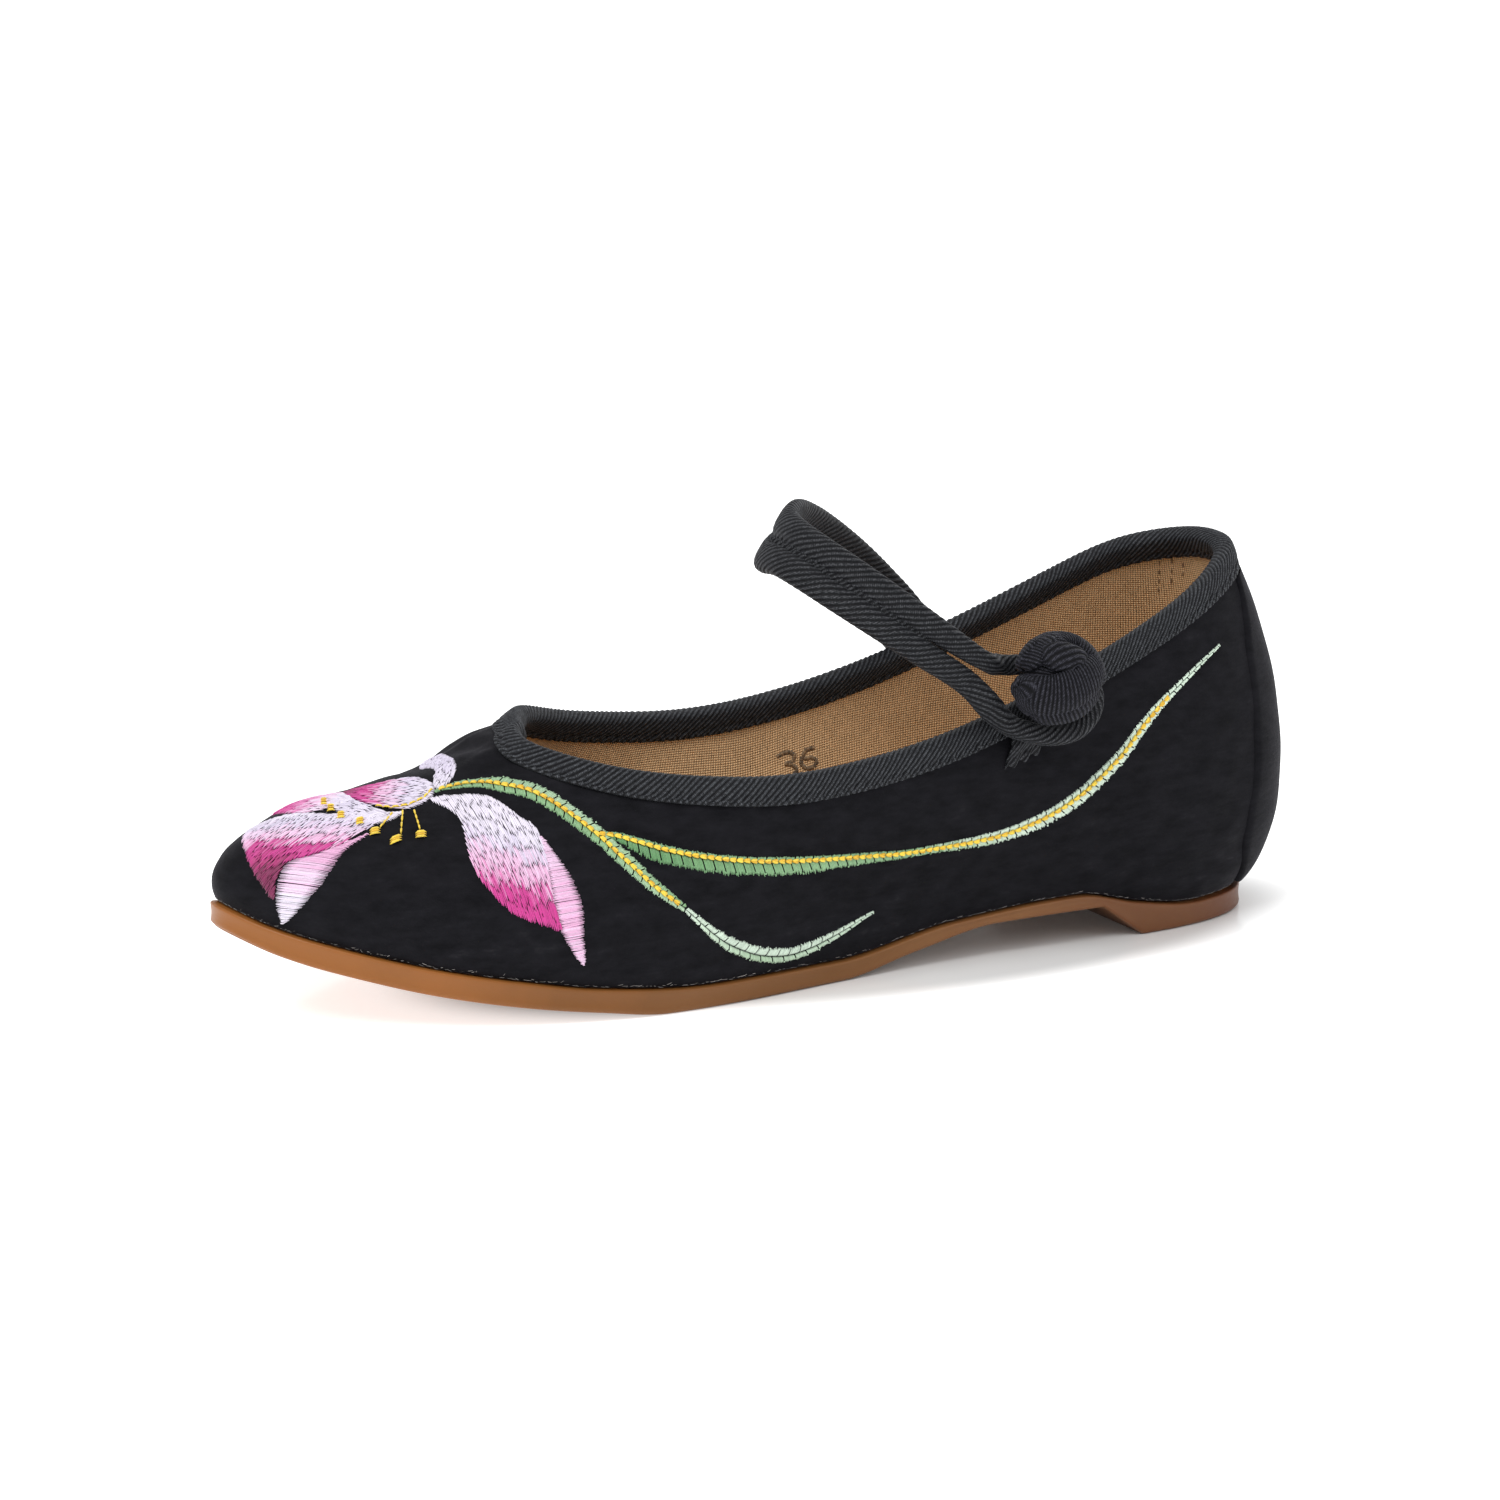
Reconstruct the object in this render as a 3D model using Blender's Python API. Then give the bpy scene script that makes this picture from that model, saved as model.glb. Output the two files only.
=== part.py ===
# Embroidered cloth shoe, left foot, with a knotted button and a loop strap.
# Frame: the toe points along -X, the outer side faces -Y, +Z is up.
# The origin lies on the floor at the middle of the heel's tread.

import math

import bmesh
import bpy
import numpy as np

# Sole
SOLE_LENGTH = 0.237
BALL_WIDTH = 0.0765
HEEL_END = 0.018
SOLE_EDGE = 0.0048
TOE_SPRING = 0.0184
ARCH_RISE = 0.0072
BREAST_FOOT = 0.036
BREAST_SLANT = 0.010
EDGE_ROUND = 0.0008

# Upper
UPPER_WALL = 0.0018
THROAT_HEIGHT = 0.0540
SIDE_HEIGHT = 0.0441
HEEL_HEIGHT = 0.0795
FEATHER_INSET = 0.0010

# Footbed
FOOTBED_LIFT = 0.0245
FOOTBED_EDGE = 0.0030
FOOTBED_CUP = 0.0025
FOOTBED_GAP = 0.0007

# Binding, heel patch and fastening
TAPE_WIDTH = 0.0072
TAPE_WALL = 0.0010
PATCH_WALL = 0.0008
PATCH_WIDTH = 0.044
PATCH_FOOT = 0.04
PATCH_GAP = 0.0004
CORD_WIDTH = 0.0074
CORD_THICK = 0.0042
STRAP_REACH = 0.0409
STRAP_RISE = 0.0290
STRAP_SWELL = 0.0052
STRAP_PLACE = 0.250
STRAP_SEAT = 0.0048
SEAT_CLEAR = 0.0006
STRAP_END = 0.012
SPLIT_REACH = 0.0170
SPLIT_TUCK = 0.0050
SPLIT_RISE = 0.0020
KNOT_PLACE = 0.2784
KNOT_RADIUS = 0.0103
KNOT_DEPTH = 0.0070
KNOT_STAND = 0.0145
KNOT_ABOVE = 0.0030
LOOP_STAND = 0.0056
NECK_RADIUS = 0.0015
NECK_FALL = 0.0050
TAIL_WIDTH = 0.0085
TAIL_DROP = 0.0116
TAIL_SLANT = 0.0036
TAIL_WALL = 0.0008

# Clearance between neighbours
GAP = 0.0003

# Places round the shoe run from 0 to this, at the toe tip again
LOOP = 2

# Steps and runs the shape is measured with
MEASURE_STEP = 0.001
TOP_SHARE = 0.2
TOP_STEPS = 41
SEAT_SHARE = 0.7
SEAT_STEPS = 71
ARC_SHARE = 0.4
ARC_STEPS = 21
NEAR_TOP = 0.98
SMOOTH_ANGLE = 40

# Facets
AROUND = 68
NEAREST_STATION = 0.008
UPPER_RINGS = 13
SOLE_COLUMNS = 6
FOOTBED_RINGS = 5
CORD_SIDES = 10
CORD_PARTS = 2
TAIL_COLUMNS = 5
PATCH_ROWS = 13
PATCH_COLUMNS = 17
PATCH_SPAN = 0.2
ARCH_PARTS = 13
KNOT_COLUMNS = 20
KNOT_ROWS = 12
FOLD_SHOULDER = 0.8
TAIL_TOP = 0.3
TAIL_STEP = 2

# Outline of the sole: place from heel to toe as a share of the length,
# outer and inner half widths as shares of the ball width
OUTLINE = (
    # along, outer, inner
    (0.000, 0.000, 0.000),
    (0.030, 0.220, 0.220),
    (0.070, 0.294, 0.292),
    (0.130, 0.340, 0.333),
    (0.200, 0.355, 0.338),
    (0.300, 0.362, 0.312),
    (0.400, 0.380, 0.283),
    (0.500, 0.430, 0.308),
    (0.570, 0.473, 0.362),
    (0.640, 0.498, 0.438),
    (0.710, 0.492, 0.495),
    (0.780, 0.452, 0.508),
    (0.850, 0.374, 0.464),
    (0.910, 0.280, 0.386),
    (0.955, 0.184, 0.292),
    (0.985, 0.078, 0.185),
    (1.000, -0.050, 0.050),
)

# Underside of the sole in front of the heel, as shares of the toe spring
# and of the arch's rise
UNDERSIDE = (
    # along, spring, arch
    (0.000, 0.000, 1.000),
    (0.210, 0.000, 1.000),
    (0.304, 0.000, 0.960),
    (0.388, 0.000, 0.480),
    (0.470, 0.000, 0.000),
    (0.650, 0.000, 0.000),
    (0.717, 0.100, 0.000),
    (0.785, 0.223, 0.000),
    (0.852, 0.380, 0.000),
    (0.911, 0.570, 0.000),
    (0.966, 0.790, 0.000),
    (1.000, 1.000, 0.000),
)

# Upper face of the sole, the same shares and its share of the edge
TOP_FACE = (
    # along, spring, arch, edge
    (0.000, 0.000, 0.000, 1.040),
    (0.084, 0.000, 0.000, 1.020),
    (0.156, 0.000, 0.480, 0.760),
    (0.219, 0.000, 1.000, 0.640),
    (0.346, 0.000, 0.700, 0.700),
    (0.473, 0.000, 0.030, 0.830),
    (0.603, 0.000, 0.000, 0.940),
    (0.717, 0.108, 0.000, 0.980),
    (0.785, 0.240, 0.000, 1.020),
    (0.852, 0.400, 0.000, 1.020),
    (0.924, 0.640, 0.000, 1.000),
    (0.975, 0.850, 0.000, 0.980),
    (1.000, 1.000, 0.000, 0.960),
)

# Sections of the upper, a row for each place round the sole.
# along and place of the topline: shares of the sole's length
# out: share of the ball width, from the middle line
# throat, heel: how far the topline has risen to the throat or the heel
# swell, crown: how far the wall stands out low down and high up,
# shares of the ball width
# rise, drop: where it does so, shares of the wall's height
# lean: how far the high part is drawn towards the edge of the sole
TOE_ROW = (1.000, 0.722, 0.005, 1.00, 0.00, 0.086, 0.56, 0.45, 0.000, 0.35)
HEEL_ROW = (0.000, 0.016, 0.000, 0.00, 1.00, 0.208, 0.16, 0.00, 0.165, 0.36)
OUTER_ROWS = (
    # along, top along, out, throat, heel, swell, rise, lean, crown, drop
    (0.975, 0.731, 0.046, 0.98, 0.00, 0.078, 0.55, 0.44, 0.010, 0.35),
    (0.930, 0.735, 0.108, 0.90, 0.00, 0.064, 0.54, 0.42, 0.010, 0.33),
    (0.860, 0.726, 0.170, 0.76, 0.00, 0.054, 0.50, 0.38, 0.018, 0.30),
    (0.780, 0.696, 0.240, 0.52, 0.00, 0.045, 0.46, 0.34, 0.026, 0.30),
    (0.700, 0.648, 0.325, 0.27, 0.00, 0.038, 0.43, 0.30, 0.032, 0.30),
    (0.620, 0.588, 0.384, 0.10, 0.00, 0.033, 0.40, 0.30, 0.038, 0.30),
    (0.520, 0.509, 0.400, 0.00, 0.00, 0.033, 0.38, 0.30, 0.040, 0.32),
    (0.420, 0.413, 0.391, 0.00, 0.06, 0.038, 0.36, 0.25, 0.042, 0.33),
    (0.320, 0.317, 0.366, 0.00, 0.20, 0.055, 0.33, 0.15, 0.055, 0.33),
    (0.220, 0.215, 0.338, 0.00, 0.44, 0.075, 0.28, 0.08, 0.080, 0.33),
    (0.120, 0.124, 0.300, 0.00, 0.69, 0.095, 0.24, 0.00, 0.100, 0.33),
    (0.050, 0.067, 0.230, 0.00, 0.85, 0.140, 0.20, 0.00, 0.128, 0.33),
    (0.015, 0.028, 0.130, 0.00, 0.96, 0.180, 0.17, 0.00, 0.160, 0.34),
)
INNER_ROWS = (
    # along, top along, out, throat, heel, swell, rise, lean, crown, drop
    (0.975, 0.712, 0.080, 1.00, 0.00, 0.076, 0.55, 0.44, 0.010, 0.35),
    (0.930, 0.702, 0.140, 0.98, 0.00, 0.062, 0.54, 0.42, 0.010, 0.34),
    (0.860, 0.689, 0.210, 0.92, 0.00, 0.052, 0.49, 0.38, 0.014, 0.32),
    (0.780, 0.664, 0.280, 0.76, 0.00, 0.044, 0.45, 0.34, 0.022, 0.31),
    (0.700, 0.626, 0.336, 0.50, 0.00, 0.038, 0.43, 0.30, 0.032, 0.30),
    (0.620, 0.572, 0.370, 0.28, 0.00, 0.036, 0.40, 0.30, 0.038, 0.30),
    (0.520, 0.498, 0.386, 0.14, 0.00, 0.050, 0.38, 0.25, 0.040, 0.32),
    (0.420, 0.413, 0.384, 0.03, 0.08, 0.075, 0.36, 0.15, 0.045, 0.33),
    (0.320, 0.317, 0.364, 0.00, 0.24, 0.080, 0.33, 0.10, 0.055, 0.33),
    (0.220, 0.215, 0.338, 0.00, 0.48, 0.085, 0.28, 0.05, 0.080, 0.33),
    (0.120, 0.124, 0.300, 0.00, 0.74, 0.095, 0.24, 0.00, 0.100, 0.33),
    (0.050, 0.067, 0.230, 0.00, 0.91, 0.140, 0.20, 0.00, 0.128, 0.33),
    (0.015, 0.028, 0.130, 0.00, 0.98, 0.180, 0.17, 0.00, 0.160, 0.34),
)

# Thickness of the footbed from heel to toe: shares of the heel's lift
# and of its thin edge
FOOTBED = (
    # along, lift, edge
    (0.000, 0.90, 1.0),
    (0.080, 0.90, 1.0),
    (0.180, 0.74, 1.0),
    (0.300, 0.42, 1.0),
    (0.420, 0.18, 1.0),
    (0.540, 0.04, 1.0),
    (0.660, 0.00, 1.0),
    (1.000, 0.00, 0.9),
)

# Half width of the heel patch from the sole up to the tape
PATCH = (
    # height, half width as a share of the patch's width
    (0.00, 0.36),
    (0.25, 0.46),
    (0.50, 0.50),
    (0.80, 0.32),
    (1.00, 0.17),
)

# Width of each cord of the strap from its sewn end to the split
ARCH_WIDTH = (
    # place, width as a share of the cord's width
    (0.00, 0.84),
    (0.30, 0.84),
    (0.50, 1.00),
    (0.64, 0.84),
    (0.80, 0.80),
    (0.92, 0.74),
    (1.00, 0.70),
)

# Route of the loop round the knot's neck, from the split over and back
LOOP_ROUTE = (
    # heelward and up, shares of the knot's radius; share of the cord's width
    (-0.86, 0.24, 0.62),
    (-0.31, 0.41, 0.60),
    (0.31, 0.44, 0.60),
    (0.86, 0.18, 0.62),
    (1.17, -0.24, 0.64),
    (1.08, -0.68, 0.66),
    (0.68, -1.00, 0.68),
    (0.12, -1.06, 0.70),
    (-0.43, -0.92, 0.72),
    (-0.92, -0.66, 0.78),
)


# Smooth curve through the rows that keeps flat stretches flat
def flow(rows, column, where):
    table = np.array(rows, dtype=float)
    place = table[:, 0]
    value = table[:, column]
    span = np.diff(place)
    slope = np.diff(value) / span
    tangent = np.zeros(len(place))
    for index in range(1, len(place) - 1):
        before = slope[index - 1]
        after = slope[index]
        if before * after > 0:
            tangent[index] = 2 * before * after / (before + after)
    tangent[0] = slope[0]
    tangent[-1] = slope[-1]
    at = np.clip(np.asarray(where, dtype=float), place[0], place[-1])
    cell = np.clip(np.searchsorted(place, at, side="right") - 1, 0, len(span) - 1)
    wide = span[cell]
    share = (at - place[cell]) / wide
    back = 1 - share
    start = (1 + 2 * share) * back ** 2 * value[cell]
    end = (3 - 2 * share) * share ** 2 * value[cell + 1]
    lean = share * back * (back * tangent[cell] - share * tangent[cell + 1])
    return start + end + lean * wide


# Smooth closed curve through values given round the shoe
def closed_curve(places, values, where):
    places = np.asarray(places, dtype=float)
    values = np.asarray(values, dtype=float)
    count = len(places)
    span = np.roll(places, -1) - places
    span[-1] += LOOP
    before = np.roll(span, 1)
    slope = (np.roll(values, -1) - values) / span
    matrix = np.zeros((count, count))
    for row in range(count):
        matrix[row, row - 1] += before[row]
        matrix[row, row] += 2 * (before[row] + span[row])
        matrix[row, (row + 1) % count] += span[row]
    bend = np.linalg.solve(matrix, 6 * (slope - np.roll(slope, 1)))
    at = np.mod(where, LOOP)
    cell = np.clip(np.searchsorted(places, at, side="right") - 1, 0, count - 1)
    following = (cell + 1) % count
    wide = span[cell]
    ahead = (at - places[cell]) / wide
    behind = 1 - ahead
    straight = behind * values[cell] + ahead * values[following]
    start = (behind ** 3 - behind) * bend[cell]
    end = (ahead ** 3 - ahead) * bend[following]
    return straight + (start + end) * wide ** 2 / 6


# Place round the shoe: 0 at the toe tip, 1 at the heel's back on the
# outer side's way, and on to 2 at the toe tip along the inner side
def station(along, inner):
    turn = math.acos(min(1.0, max(-1.0, 2 * along - 1))) / math.pi
    return LOOP - turn if inner else turn


def along_at(turn):
    return (1 + np.cos(math.pi * np.asarray(turn))) / 2


def length_at(along):
    return HEEL_END - SOLE_LENGTH * along


def outline_places():
    rows = []
    for along, outer, inner in OUTLINE:
        if 0.0 < along < 1.0:
            rows.append((station(along, False), -outer))
            rows.append((station(along, True), inner))
        else:
            rows.append((station(along, False), inner))
    rows.sort()
    return np.array(rows).T


# Sole outline, drawn in by an inset along its own normal
def outline(turn, inset=0.0):
    places, across = outline_places()
    points = []
    for shift in (-MEASURE_STEP, 0.0, MEASURE_STEP):
        at = np.asarray(turn) + shift
        y = closed_curve(places, across, at) * BALL_WIDTH
        points.append(np.stack([length_at(along_at(at)), y], -1))
    way = points[2] - points[0]
    way /= np.linalg.norm(way, axis=-1, keepdims=True)
    normal = np.stack([way[..., 1], -way[..., 0]], -1)
    return points[1] - normal * inset, normal


def underside_height(along):
    spring = flow(UNDERSIDE, 1, along) * TOE_SPRING
    return spring + flow(UNDERSIDE, 2, along) * ARCH_RISE


def top_height(along):
    spring = flow(TOP_FACE, 1, along) * TOE_SPRING
    arch = flow(TOP_FACE, 2, along) * ARCH_RISE
    return spring + arch + flow(TOP_FACE, 3, along) * SOLE_EDGE


def section_table():
    rows = [(0.0, -1.0) + TOE_ROW, (1.0, -1.0) + HEEL_ROW]
    for row in OUTER_ROWS:
        rows.append((station(row[0], False), -1.0) + row)
    for row in INNER_ROWS:
        rows.append((station(row[0], True), 1.0) + row)
    rows.sort()
    return np.array(rows)


SECTIONS = section_table()


def section_value(column, turn):
    return closed_curve(SECTIONS[:, 0], SECTIONS[:, column], turn)


# Four points that steer each wall from the sole's edge to the topline
def wall_guides(turn):
    turn = np.asarray(turn, dtype=float)
    foot_plan, normal = outline(turn, FEATHER_INSET)
    foot_z = top_height(along_at(turn)) + GAP
    foot = np.concatenate([foot_plan, foot_z[..., None]], -1)
    across = closed_curve(SECTIONS[:, 0], SECTIONS[:, 4] * SECTIONS[:, 1], turn)
    top_z = SIDE_HEIGHT + section_value(5, turn) * (THROAT_HEIGHT - SIDE_HEIGHT)
    top_z = top_z + section_value(6, turn) * (HEEL_HEIGHT - SIDE_HEIGHT)
    top_x = length_at(section_value(3, turn))
    top = np.stack([top_x, across * BALL_WIDTH, top_z], -1)
    height = (top_z - foot_z)[..., None]
    out = np.concatenate([normal, np.zeros_like(foot_z)[..., None]], -1)
    up = np.array([0.0, 0.0, 1.0])
    swell = section_value(7, turn)[..., None] * BALL_WIDTH
    rise = section_value(8, turn)[..., None]
    lean = section_value(9, turn)[..., None]
    crown = section_value(10, turn)[..., None] * BALL_WIDTH
    drop = section_value(11, turn)[..., None]
    low = foot + out * swell + up * height * rise
    flat = (foot - top) * np.array([1.0, 1.0, 0.0])
    high = top + flat * lean + out * crown - up * height * drop
    return foot, low, high, top


def wall_point(turn, share):
    foot, low, high, top = wall_guides(turn)
    share = np.asarray(share, dtype=float)[..., None]
    back = 1 - share
    point = back ** 3 * foot + 3 * back ** 2 * share * low
    return point + 3 * back * share ** 2 * high + share ** 3 * top


# Outer face of the upper with its normal, moved out by an offset
def skin(turn, share, offset=0.0):
    turn, share = np.broadcast_arrays(np.asarray(turn, float), np.asarray(share, float))
    point = wall_point(turn, share)
    round_way = wall_point(turn + MEASURE_STEP, share) - wall_point(turn - MEASURE_STEP, share)
    up_way = wall_point(turn, share + MEASURE_STEP) - wall_point(turn, share - MEASURE_STEP)
    normal = np.cross(round_way, up_way)
    normal /= np.linalg.norm(normal, axis=-1, keepdims=True)
    offset = np.asarray(offset, dtype=float)
    if offset.ndim:
        offset = offset[..., None]
    return point + normal * offset


# Share of the wall that lies a given way below the topline
def share_below_top(turn, depth):
    turn = np.asarray(turn, dtype=float)
    shares = np.linspace(1.0, TOP_SHARE, TOP_STEPS)
    points = wall_point(turn[:, None], shares[None, :])
    steps = np.linalg.norm(np.diff(points, axis=1), axis=-1)
    run = np.concatenate([np.zeros((len(turn), 1)), np.cumsum(steps, axis=1)], axis=1)
    return np.array([np.interp(depth, line, shares) for line in run])


def place_material(piece, color, roughness):
    material = bpy.data.materials.new(piece.name + "_finish")
    material.use_nodes = True
    shader = material.node_tree.nodes["Principled BSDF"]
    shader.inputs["Base Color"].default_value = (*color, 1.0)
    shader.inputs["Roughness"].default_value = roughness
    shader.inputs["Metallic"].default_value = 0.0
    piece.data.materials.append(material)


def add_piece(name, mesh_source, color, roughness):
    bmesh.ops.recalc_face_normals(mesh_source, faces=mesh_source.faces)
    mesh = bpy.data.meshes.new(name)
    mesh_source.to_mesh(mesh)
    mesh_source.free()
    mesh.shade_smooth()
    mesh.set_sharp_from_angle(angle=math.radians(SMOOTH_ANGLE))
    piece = bpy.data.objects.new(name, mesh)
    bpy.context.collection.objects.link(piece)
    place_material(piece, color, roughness)
    return piece


# Closed skin over rings of points: each ring runs round, the last one
# meets the first
def join_rings(mesh_source, rings, wrap):
    rows = [[mesh_source.verts.new(point) for point in ring] for ring in rings]
    count = len(rows[0])
    last = len(rows) if wrap else len(rows) - 1
    for row in range(last):
        lower = rows[row]
        upper = rows[(row + 1) % len(rows)]
        for index in range(count):
            following = (index + 1) % count
            corners = (lower[index], lower[following], upper[following], upper[index])
            mesh_source.faces.new(corners)
    return rows


# Close both ends of a strip whose rings run out along one face and back
# along the other
def close_ends(mesh_source, rows, columns):
    for row in (rows[0], rows[-1]):
        for index in range(columns - 1):
            corners = (row[index], row[index + 1], row[-2 - index], row[-1 - index])
            mesh_source.faces.new(corners)


# Cap between the two sides of a ring that starts at the toe tip
def cap_across(mesh_source, ring, height, columns):
    count = len(ring)
    half = count // 2
    grid = [[ring[0]] * (columns + 1)]
    for index in range(1, half):
        outer = ring[index]
        inner = ring[count - index]
        line = [outer]
        for column in range(1, columns):
            share = column / columns
            point = outer.co.lerp(inner.co, share)
            point.z = height(point, share)
            line.append(mesh_source.verts.new(point))
        line.append(inner)
        grid.append(line)
    grid.append([ring[half]] * (columns + 1))
    for row in range(half):
        for column in range(columns):
            corners = [grid[row][column], grid[row][column + 1]]
            corners += [grid[row + 1][column + 1], grid[row + 1][column]]
            loop = []
            for corner in corners:
                if corner not in loop:
                    loop.append(corner)
            if len(loop) > 2:
                mesh_source.faces.new(loop)


def breast_shares():
    foot = BREAST_FOOT / SOLE_LENGTH
    top = (BREAST_FOOT + BREAST_SLANT) / SOLE_LENGTH
    return foot, top


def tread_height(along):
    foot, top = breast_shares()
    if along <= foot:
        return 0.0
    if along <= top:
        share = (along - foot) / (top - foot)
        return share * float(underside_height(top))
    return float(underside_height(along))


# Stations round the shoe that every main piece shares, in pairs across
# it, with two at the foot and the top of the heel's breast
def shoe_turns():
    foot, top = breast_shares()
    turns = set()
    for index in range(AROUND // 2 + 1):
        along = float(along_at(index * LOOP / AROUND))
        if all(abs(along - edge) > NEAREST_STATION for edge in (foot, top)):
            turns.add(index * LOOP / AROUND)
    turns.update(station(edge, False) for edge in (foot, top))
    outer = sorted(turns)
    inner = [LOOP - turn for turn in outer[1:-1]]
    return np.array(outer + inner[::-1])


def build_outsole():
    turns = shoe_turns()
    along = along_at(turns)
    tread = np.array([tread_height(value) for value in along])
    top = top_height(along)
    rim, _ = outline(turns)
    drawn, _ = outline(turns, EDGE_ROUND)
    rings = (
        np.column_stack([drawn, tread]),
        np.column_stack([rim, tread + EDGE_ROUND]),
        np.column_stack([rim, top - EDGE_ROUND / 2]),
        np.column_stack([outline(turns, EDGE_ROUND / 2)[0], top]),
    )
    source = bmesh.new()
    rows = join_rings(source, rings, False)

    def tread_face(point, share):
        return tread_height((HEEL_END - point.x) / SOLE_LENGTH)

    def top_face(point, share):
        return float(top_height((HEEL_END - point.x) / SOLE_LENGTH))

    cap_across(source, rows[0], tread_face, SOLE_COLUMNS)
    cap_across(source, rows[-1], top_face, SOLE_COLUMNS)
    return add_piece("outsole", source, (0.50, 0.25, 0.09), 0.42)


def build_upper():
    turns = shoe_turns()
    shares = np.linspace(0.0, 1.0, UPPER_RINGS)
    rings = [skin(turns, share) for share in shares]
    rings += [skin(turns, share, -UPPER_WALL) for share in shares[::-1]]
    source = bmesh.new()
    join_rings(source, rings, True)
    return add_piece("upper", source, (0.012, 0.012, 0.015), 0.85)


def footbed_height(along):
    lift = flow(FOOTBED, 1, along) * FOOTBED_LIFT
    return top_height(along) + GAP + lift + flow(FOOTBED, 2, along) * FOOTBED_EDGE


# Footbed: its side stands up to where the wall begins, then follows the
# inside of the wall up to the footbed's own height
def build_footbed():
    turns = shoe_turns()
    inside = -UPPER_WALL - FOOTBED_GAP
    shares = np.linspace(0.0, SEAT_SHARE, SEAT_STEPS)
    wall = skin(turns[:, None], shares[None, :], inside)
    rings = [[] for level in range(FOOTBED_RINGS + 1)]
    for line in wall:
        along = (HEEL_END - line[0, 0]) / SOLE_LENGTH
        floor = float(top_height(along)) + GAP
        top = float(footbed_height(along))
        base = min(line[0, 2], (floor + top) / 2)
        rings[0].append((line[0, 0], line[0, 1], floor))
        for level in range(FOOTBED_RINGS):
            height = base + (top - base) * level / (FOOTBED_RINGS - 1)
            x = np.interp(height, line[:, 2], line[:, 0])
            y = np.interp(height, line[:, 2], line[:, 1])
            rings[level + 1].append((x, y, height))
    source = bmesh.new()
    rows = join_rings(source, rings, False)

    def bottom_face(point, share):
        return float(top_height((HEEL_END - point.x) / SOLE_LENGTH)) + GAP

    def top_face(point, share):
        along = (HEEL_END - point.x) / SOLE_LENGTH
        cup = FOOTBED_CUP * float(flow(FOOTBED, 1, along)) * math.sin(math.pi * share)
        return float(footbed_height(along)) - cup

    cap_across(source, rows[0], bottom_face, SOLE_COLUMNS)
    cap_across(source, rows[-1], top_face, SOLE_COLUMNS)
    return add_piece("insole", source, (0.42, 0.28, 0.14), 0.9)


# Tape folded over the topline: its section lies in depth below the edge
# and in offset from the upper's outer face
def build_collar_binding():
    near = GAP
    far = GAP + TAPE_WALL
    inner_near = -UPPER_WALL - GAP
    inner_far = -UPPER_WALL - GAP - TAPE_WALL
    middle = -UPPER_WALL / 2
    section = (
        (TAPE_WIDTH, near),
        (TAPE_WIDTH / 2, near),
        (-GAP, near),
        (-GAP, inner_near),
        (TAPE_WIDTH / 2, inner_near),
        (TAPE_WIDTH, inner_near),
        (TAPE_WIDTH, inner_far),
        (TAPE_WIDTH / 2, inner_far),
        (0.0, inner_far),
        (-far * FOLD_SHOULDER, inner_near),
        (-far, middle),
        (-far * FOLD_SHOULDER, near),
        (0.0, far),
        (TAPE_WIDTH / 2, far),
        (TAPE_WIDTH, far),
    )
    turns = shoe_turns()
    edge = skin(turns, 1.0)
    below = skin(turns, NEAR_TOP)
    upward = edge - below
    upward /= np.linalg.norm(upward, axis=-1, keepdims=True)
    rings = []
    for depth, offset in section:
        share = share_below_top(turns, max(depth, 0.0))
        ring = skin(turns, share, offset)
        if depth < 0:
            ring = ring - upward * depth
        rings.append(ring)
    source = bmesh.new()
    join_rings(source, rings, True)
    return add_piece("collar_binding", source, (0.022, 0.023, 0.028), 0.8)


# Patch of velvet round the heel's back, from the sole up to the tape
def build_heel_patch():
    arc = skin(np.linspace(1.0 - PATCH_SPAN, 1.0 + PATCH_SPAN, ARC_STEPS), ARC_SHARE)
    turn_per_metre = 2 * PATCH_SPAN / np.linalg.norm(np.diff(arc, axis=0), axis=1).sum()
    source = bmesh.new()
    rings = []
    for level in np.linspace(0.0, 1.0, PATCH_ROWS):
        half = float(flow(PATCH, 1, level)) * PATCH_WIDTH * turn_per_metre
        turns = np.linspace(1.0 - half, 1.0 + half, PATCH_COLUMNS)
        top = share_below_top(turns, TAPE_WIDTH + GAP)
        shares = PATCH_FOOT + (top - PATCH_FOOT) * level
        outer = skin(turns, shares, PATCH_GAP + PATCH_WALL)
        inner = skin(turns, shares, PATCH_GAP)
        rings.append(np.concatenate([outer, inner[::-1]]))
    rows = join_rings(source, rings, False)
    close_ends(source, rows, PATCH_COLUMNS)
    return add_piece("heel_patch", source, (0.016, 0.016, 0.019), 0.85)


# Frame on the outer wall at the button: along to the heel, up and out
def knot_frame():
    turn = np.array([station(KNOT_PLACE, False)])
    edge = skin(turn, 1.0)[0]
    below = share_below_top(turn, TAPE_WIDTH)
    low = skin(turn, below)[0]
    out = (skin(turn, below, 1.0) - skin(turn, below))[0]
    up = edge - low
    up /= np.linalg.norm(up)
    heelward = np.cross(up, out)
    heelward /= np.linalg.norm(heelward)
    out = np.cross(heelward, up)
    return edge, heelward, up, out


def knot_centre():
    edge, heelward, up, out = knot_frame()
    return edge + up * KNOT_ABOVE + out * KNOT_STAND


# Smooth run of points through a route chosen by hand
def smooth_route(points, parts):
    points = np.asarray(points, dtype=float)
    ends = np.vstack([2 * points[0] - points[1], points, 2 * points[-1] - points[-2]])
    run = []
    for index in range(1, len(ends) - 2):
        for part in range(parts):
            share = part / parts
            before, start, end, after = ends[index - 1:index + 3]
            bend = 2 * before - 5 * start + 4 * end - after
            twist = 3 * (start - end) + after - before
            point = 2 * start + (end - before) * share + bend * share ** 2
            run.append((point + twist * share ** 3) / 2)
    run.append(points[-1])
    return np.array(run)


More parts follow.
